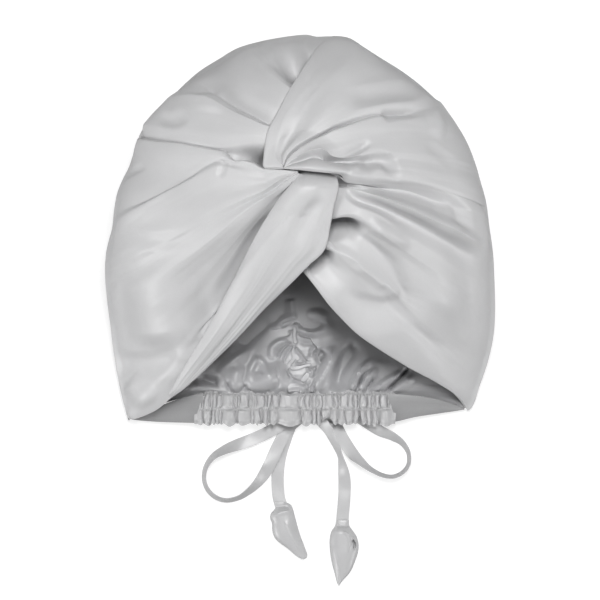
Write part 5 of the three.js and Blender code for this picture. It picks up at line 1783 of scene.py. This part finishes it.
RIGHT_TIE = Tie(
    Hand.RIGHT,
    bend_at=0.0327,
    loop=[
        (11.5, -129.4, 0.4, 0), (29.9, -130.3, 0.3, 0), (39.2, -132.4, 0.3, 4), (46.4, -136.8, 0.3, 16),
        (57.2, -144, 0.3, 30), (67.3, -148.6, 0.3, 48), (75.2, -154.3, 0.3, 65), (79, -161.6, 0.3, 72),
        (78.4, -169.5, 0.3, 73), (73.8, -175, 0.3, 73), (67.3, -177.6, 0.3, 73), (60.1, -176.6, 0.3, 72),
        (52.2, -172.8, 0.3, 68), (44.3, -166.6, 0.3, 50), (36.7, -158.7, 0.3, 18), (30.6, -149, 0.3, 14),
        (26.3, -140.7, 0.3, 10), (22.7, -135, 0.3, 0), (14, -130.2, 0.6, 0),
    ],
    tail=[
        (10.2, -129.6, 1.7, 0), (14, -135, 1.7, 8), (17.2, -139.3, 1.4, 30), (20.8, -144.3, 1, 44),
        (23.8, -149.7, 0.8, 50), (26.8, -155.8, 0.6, 57), (29.3, -162.3, 0.5, 66), (30.9, -168.8, 0.4, 50),
        (31.9, -174.6, 0.3, 30), (32.5, -180.3, 0.3, 12), (32.6, -186.8, 0.3, 0), (32.3, -193.3, 0.3, 0),
        (31.8, -199.7, 0.3, 0), (31.2, -206.2, 0.3, 0), (30.8, -211.6, 0.3, 0),
    ],
    bud_edges=(
        [(336.2, 521), (335.2, 526.5), (331.6, 532), (329.9, 538.5), (329.9, 549.5), (331.9, 563.4),
         (335, 575), (337.2, 583.6), (338.6, 586.4)],
        [(349.2, 521), (349.6, 526.5), (353.6, 532.4), (356.8, 537.4), (358.8, 545.4), (358.3, 553),
         (355.8, 561), (350.4, 573), (342, 582.6), (339.6, 586.6)],
    ),
    bud_folds=[
        Dent([(342, 530.5), (349, 536), (350.6, 546), (346, 557)], 0.9, 1.2, 2.4, 0.15, 0.4, 0.7),
        Dent([(352.6, 540.5), (354.8, 545), (354.2, 551)], -3.4, 1.1, 1.5, 0.2, 0.2),
        Dent([(353, 538), (357, 544)], 1, 1, 1, 0.2, 0.2, 0.7),
        Dent([(332, 545), (336, 560), (340, 576)], 0.5, 2, 2, 0.2, 0.2, 0.5),
        Dent([(337, 527), (349, 527)], -0.8, 1.4, 1.4, 0.1, 0.1),
    ],
)


@dataclass(frozen=True)
class Ribbon:
    """Flat ribbon with rounded edges, cupped a little and unevenly along its length."""

    width: float = 9.0
    thickness: float = 0.5
    step: float = 1.1
    fewest_steps: int = 8
    points_across: int = 11
    steps_in_route: int = 20
    lowest: float = 0.3
    edge_thinning: float = 0.35
    edge_power: float = 10.0
    cups: Sequence[tuple[float, float, float]] = ((0.18, 0.31, 0.0), (0.12, 0.13, 1.0))

    def line(self, route: Route) -> Array:
        """The ribbon's middle along a route."""
        return soft_line(np.array(route, float), self.steps_in_route)

    def share_at(self, route: Route, y: float) -> float:
        """The share of a route's length at which it passes a line across the ties.

        Args:
            route: The route.
            y: The line's place along the cap, in millimetres.

        Returns:
            The share, from 0 to 1.
        """
        line = self.line(route)
        length = run_length(line[:, :2])
        return float(length[int(np.abs(line[:, 1] - y).argmin())] / length[-1])

    def lay(
        self, name: str, route: Route, wardrobe: Wardrobe, part: tuple[float, float] = (0.0, 1.0)
    ) -> tuple[Piece, Array]:
        """Lays the ribbon along a route.

        Args:
            name: The piece's name.
            route: The ribbon's route.
            wardrobe: Where its finish comes from.
            part: The shares of the route between which it lies.

        Returns:
            The piece, and its centreline in metres.
        """
        full = self.line(route)
        length = run_length(full[:, :2])[-1] * (part[1] - part[0])
        count = max(int(length / self.step), self.fewest_steps)
        line = evenly(full, np.linspace(*part, count + 1), 2)
        turn = np.radians(np.clip(line[:, 3], 0, 90))
        on_edge = (self.width * np.sin(turn) + self.thickness * np.cos(turn)) / 2
        middle = np.stack([line[:, 0], line[:, 1], np.maximum(line[:, 2], self.lowest) + on_edge], 1)
        run = np.gradient(line[:, :2], axis=0)
        run /= np.linalg.norm(run, axis=1, keepdims=True)
        across = np.stack([-run[:, 1], run[:, 0], 0 * run[:, 0]], 1)
        up, sine, cosine = np.array([0, 0, 1.0]), np.sin(turn)[:, None], np.cos(turn)[:, None]
        width = (across * cosine + up * sine)[:, None, :]
        face = (up * cosine - across * sine)[:, None, :]
        k = np.arange(count + 1)
        cup = sum(height * np.sin(k * rate + phase) for height, rate, phase in self.cups)[:, None, None]
        w = np.linspace(-1, 1, self.points_across)
        w, side = np.concatenate([w, w[::-1]])[:, None], np.repeat([1.0, -1.0], self.points_across)[:, None]
        wall = side * self.thickness / 2 * (1 - self.edge_thinning * np.abs(w) ** self.edge_power)
        rings = middle[:, None, :] + width * w * self.width / 2 + face * (wall + cup * (1 - w * w))
        piece = tube(name, rings)
        wardrobe.put_on(piece, Finish.RIBBON)
        shade(piece)
        return piece, middle * MM


@dataclass(frozen=True)
class Bud:
    """The ribbon's end, folded round itself into a closed bud between a left and a right edge."""

    rings: int = 110
    points_over: int = 61
    points_under: int = 11
    neck_height: float = 1.3
    swell: float = 4.6
    swell_run: float = 1 / 4.5
    tip_size: float = 0.3
    tip: tuple[float, float] = (0.45, 1 / 1.9)
    fold_fade: float = 0.2
    least_height: float = 0.6
    over_table: float = 0.35
    under_level: float = 0.3
    under_share: float = 0.97
    flatness: float = 3.2
    roundness: float = 0.55
    sharp_over: float = 50.0

    def build(self, tie: Tie, wardrobe: Wardrobe) -> Piece:
        """The bud of a tie.

        Args:
            tie: The tie that it ends.
            wardrobe: Where its finish comes from.

        Returns:
            The bud.
        """
        t = np.linspace(0, 1, self.rings)
        left, right = (evenly(soft_line(from_picture(edge)), t)[:, None, :] for edge in tie.bud_edges)
        swell = smooth(t / self.swell_run) * mix(1, self.tip_size, step(t, *self.tip))
        full = self.neck_height + self.swell * swell
        w = np.linspace(-1, 1, self.points_over)
        x, y = np.moveaxis(mix(left, right, (w[None, :, None] + 1) / 2), -1, 0)
        over = self.over_table + full[:, None] * (1 - np.abs(w) ** self.flatness)[None, :] ** self.roundness
        inside = smooth((1 - np.abs(w)) / self.fold_fade)[None, :]
        over = np.maximum(over + sum(fold.at(x, y) for fold in tie.bud_folds) * inside, self.least_height)
        back = np.linspace(1, -1, self.points_under) * self.under_share
        below = mix(left, right, (back[None, :, None] + 1) / 2)
        level = np.full((*below.shape[:2], 1), self.under_level)
        rings = np.concatenate([np.stack([x, y, over], -1), np.concatenate([below, level], 2)], 1)
        piece = tube(f"{tie.hand.value}_bud", rings)
        wardrobe.put_on(piece, Finish.RIBBON)
        shade(piece, self.sharp_over)
        return piece


@dataclass(frozen=True)
class Knot:
    """The knot: ribbon wrapped over the crossing, creased where it is pulled in."""

    centre: Point = (9.0, -128.5, 2.7)
    half_size: Point = (7.4, 5.4, 2.3)
    rings: int = 60
    points_round: int = 48
    end_size: float = 0.62
    end_power: float = 2.4
    end_root: float = 0.8
    creases: Sequence[tuple[float, float, float]] = ((0.05, 5, 3), (0.03, 11, 9))
    squareness: float = 0.6
    lowest: float = 0.2
    sharp_over: float = 60.0

    def build(self, wardrobe: Wardrobe) -> Piece:
        """The knot, seated on the cap.

        Args:
            wardrobe: Where its finish comes from.

        Returns:
            The knot.
        """
        x, y, z = self.centre
        half_length, half_depth, half_height = self.half_size
        t = np.linspace(-1, 1, self.rings)[:, None]
        a = 2 * math.pi * np.arange(self.points_round)[None, :] / self.points_round
        size = mix(self.end_size, 1, (1 - np.abs(t) ** self.end_power) ** self.end_root)
        broad, fine = (deep * np.sin(round_it * a + along * t) for deep, round_it, along in self.creases)
        crease = 1 + broad * (1 - np.abs(t)) + fine
        square = np.maximum(np.abs(np.cos(a)), np.abs(np.sin(a))) ** self.squareness
        scale = size * crease / square
        height = np.maximum(z + np.sin(a) * half_height * scale, self.lowest)
        rings = np.stack([x + t * half_length + 0 * a, y + np.cos(a) * half_depth * scale, height], -1)
        piece = tube("bow_knot_wrap", rings)
        wardrobe.put_on(piece, Finish.RIBBON)
        shade(piece, self.sharp_over)
        seat(piece, "ribbon", "bow_knot")
        return piece


@dataclass(frozen=True)
class Ties:
    """The ribbon tied in a bow under the nape, with its loops, its tails and their bud ends."""

    wardrobe: Wardrobe
    ribbon: Ribbon = Ribbon()
    tail_split: float = -147.2
    tucked_in: float = 1.2
    bow_bend: tuple[Point, Point] = ((0.009, -0.1405, 0.0037), (0.009, -0.147, 0.0037))
    tail_bend: tuple[tuple[float, float], tuple[float, float]] = ((-0.1795, 0.0011), (-0.1855, 0.0011))

    def bow_ribbon(self, tie: Tie) -> Piece:
        """The ribbon that makes a loop, passes through the knot and goes on as the tail's upper part.

        Args:
            tie: The side's routes, bend and bud.

        Returns:
            The ribbon.
        """
        side = tie.hand.value
        bow, loop_path = self.ribbon.lay(f"{side}_bow_ribbon", tie.loop, self.wardrobe)
        until = self.ribbon.share_at(tie.tail, self.tail_split)
        root, root_path = self.ribbon.lay("tail_root", tie.tail, self.wardrobe, (0.0, until))
        choose(bow, root)
        bpy.ops.object.join()
        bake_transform(bow)
        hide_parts(f"{side}_loop", f"{side}_tail_root")
        return bow

    def tail_ribbon(self, tie: Tie) -> list[Piece]:
        """The tail below the bow ribbon, and the bud that it runs into.

        Args:
            tie: The side's routes, bend and bud.

        Returns:
            The tail's ribbon and the bud.
        """
        side, body = tie.hand.value, f"{tie.hand.value}_tie"
        last, before = np.array(tie.tail[-1]), np.array(tie.tail[-2])
        into = last + (last - before) * (self.tucked_in, self.tucked_in, 0, 0)
        whole = [*tie.tail, tuple(into)]
        since = self.ribbon.share_at(whole, self.tail_split)
        lower, path = self.ribbon.lay(f"{side}_tail_ribbon", whole, self.wardrobe, (since, 1.0))
        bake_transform(lower)
        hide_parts(f"{side}_tail")
        bud = Bud().build(tie, self.wardrobe)
        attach(bud, body)
        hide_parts(f"{side}_tulip_end")
        return [lower, bud]

    def build(self) -> list[Piece]:
        """Both sides' ribbons and buds, and the knot.

        Returns:
            The pieces.
        """
        pieces = []
        for tie in (LEFT_TIE, RIGHT_TIE):
            pieces += [self.bow_ribbon(tie), *self.tail_ribbon(tie)]
        return [*pieces, Knot().build(self.wardrobe)]


def main() -> None:
    """Builds the bonnet and its setting."""
    logging.basicConfig(level=logging.INFO, format="%(name)s: %(message)s")
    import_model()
    Studio().build()
    wardrobe = Wardrobe()
    for part in (Ties(wardrobe), TurbanFront(wardrobe), Back(wardrobe), Nape(wardrobe)):
        for piece in part.build():
            log.info("%s: %d faces", piece.name, len(piece.data.polygons))
    bpy.context.scene.view_settings.view_transform = "Standard"


if __name__ == "__main__":
    main()
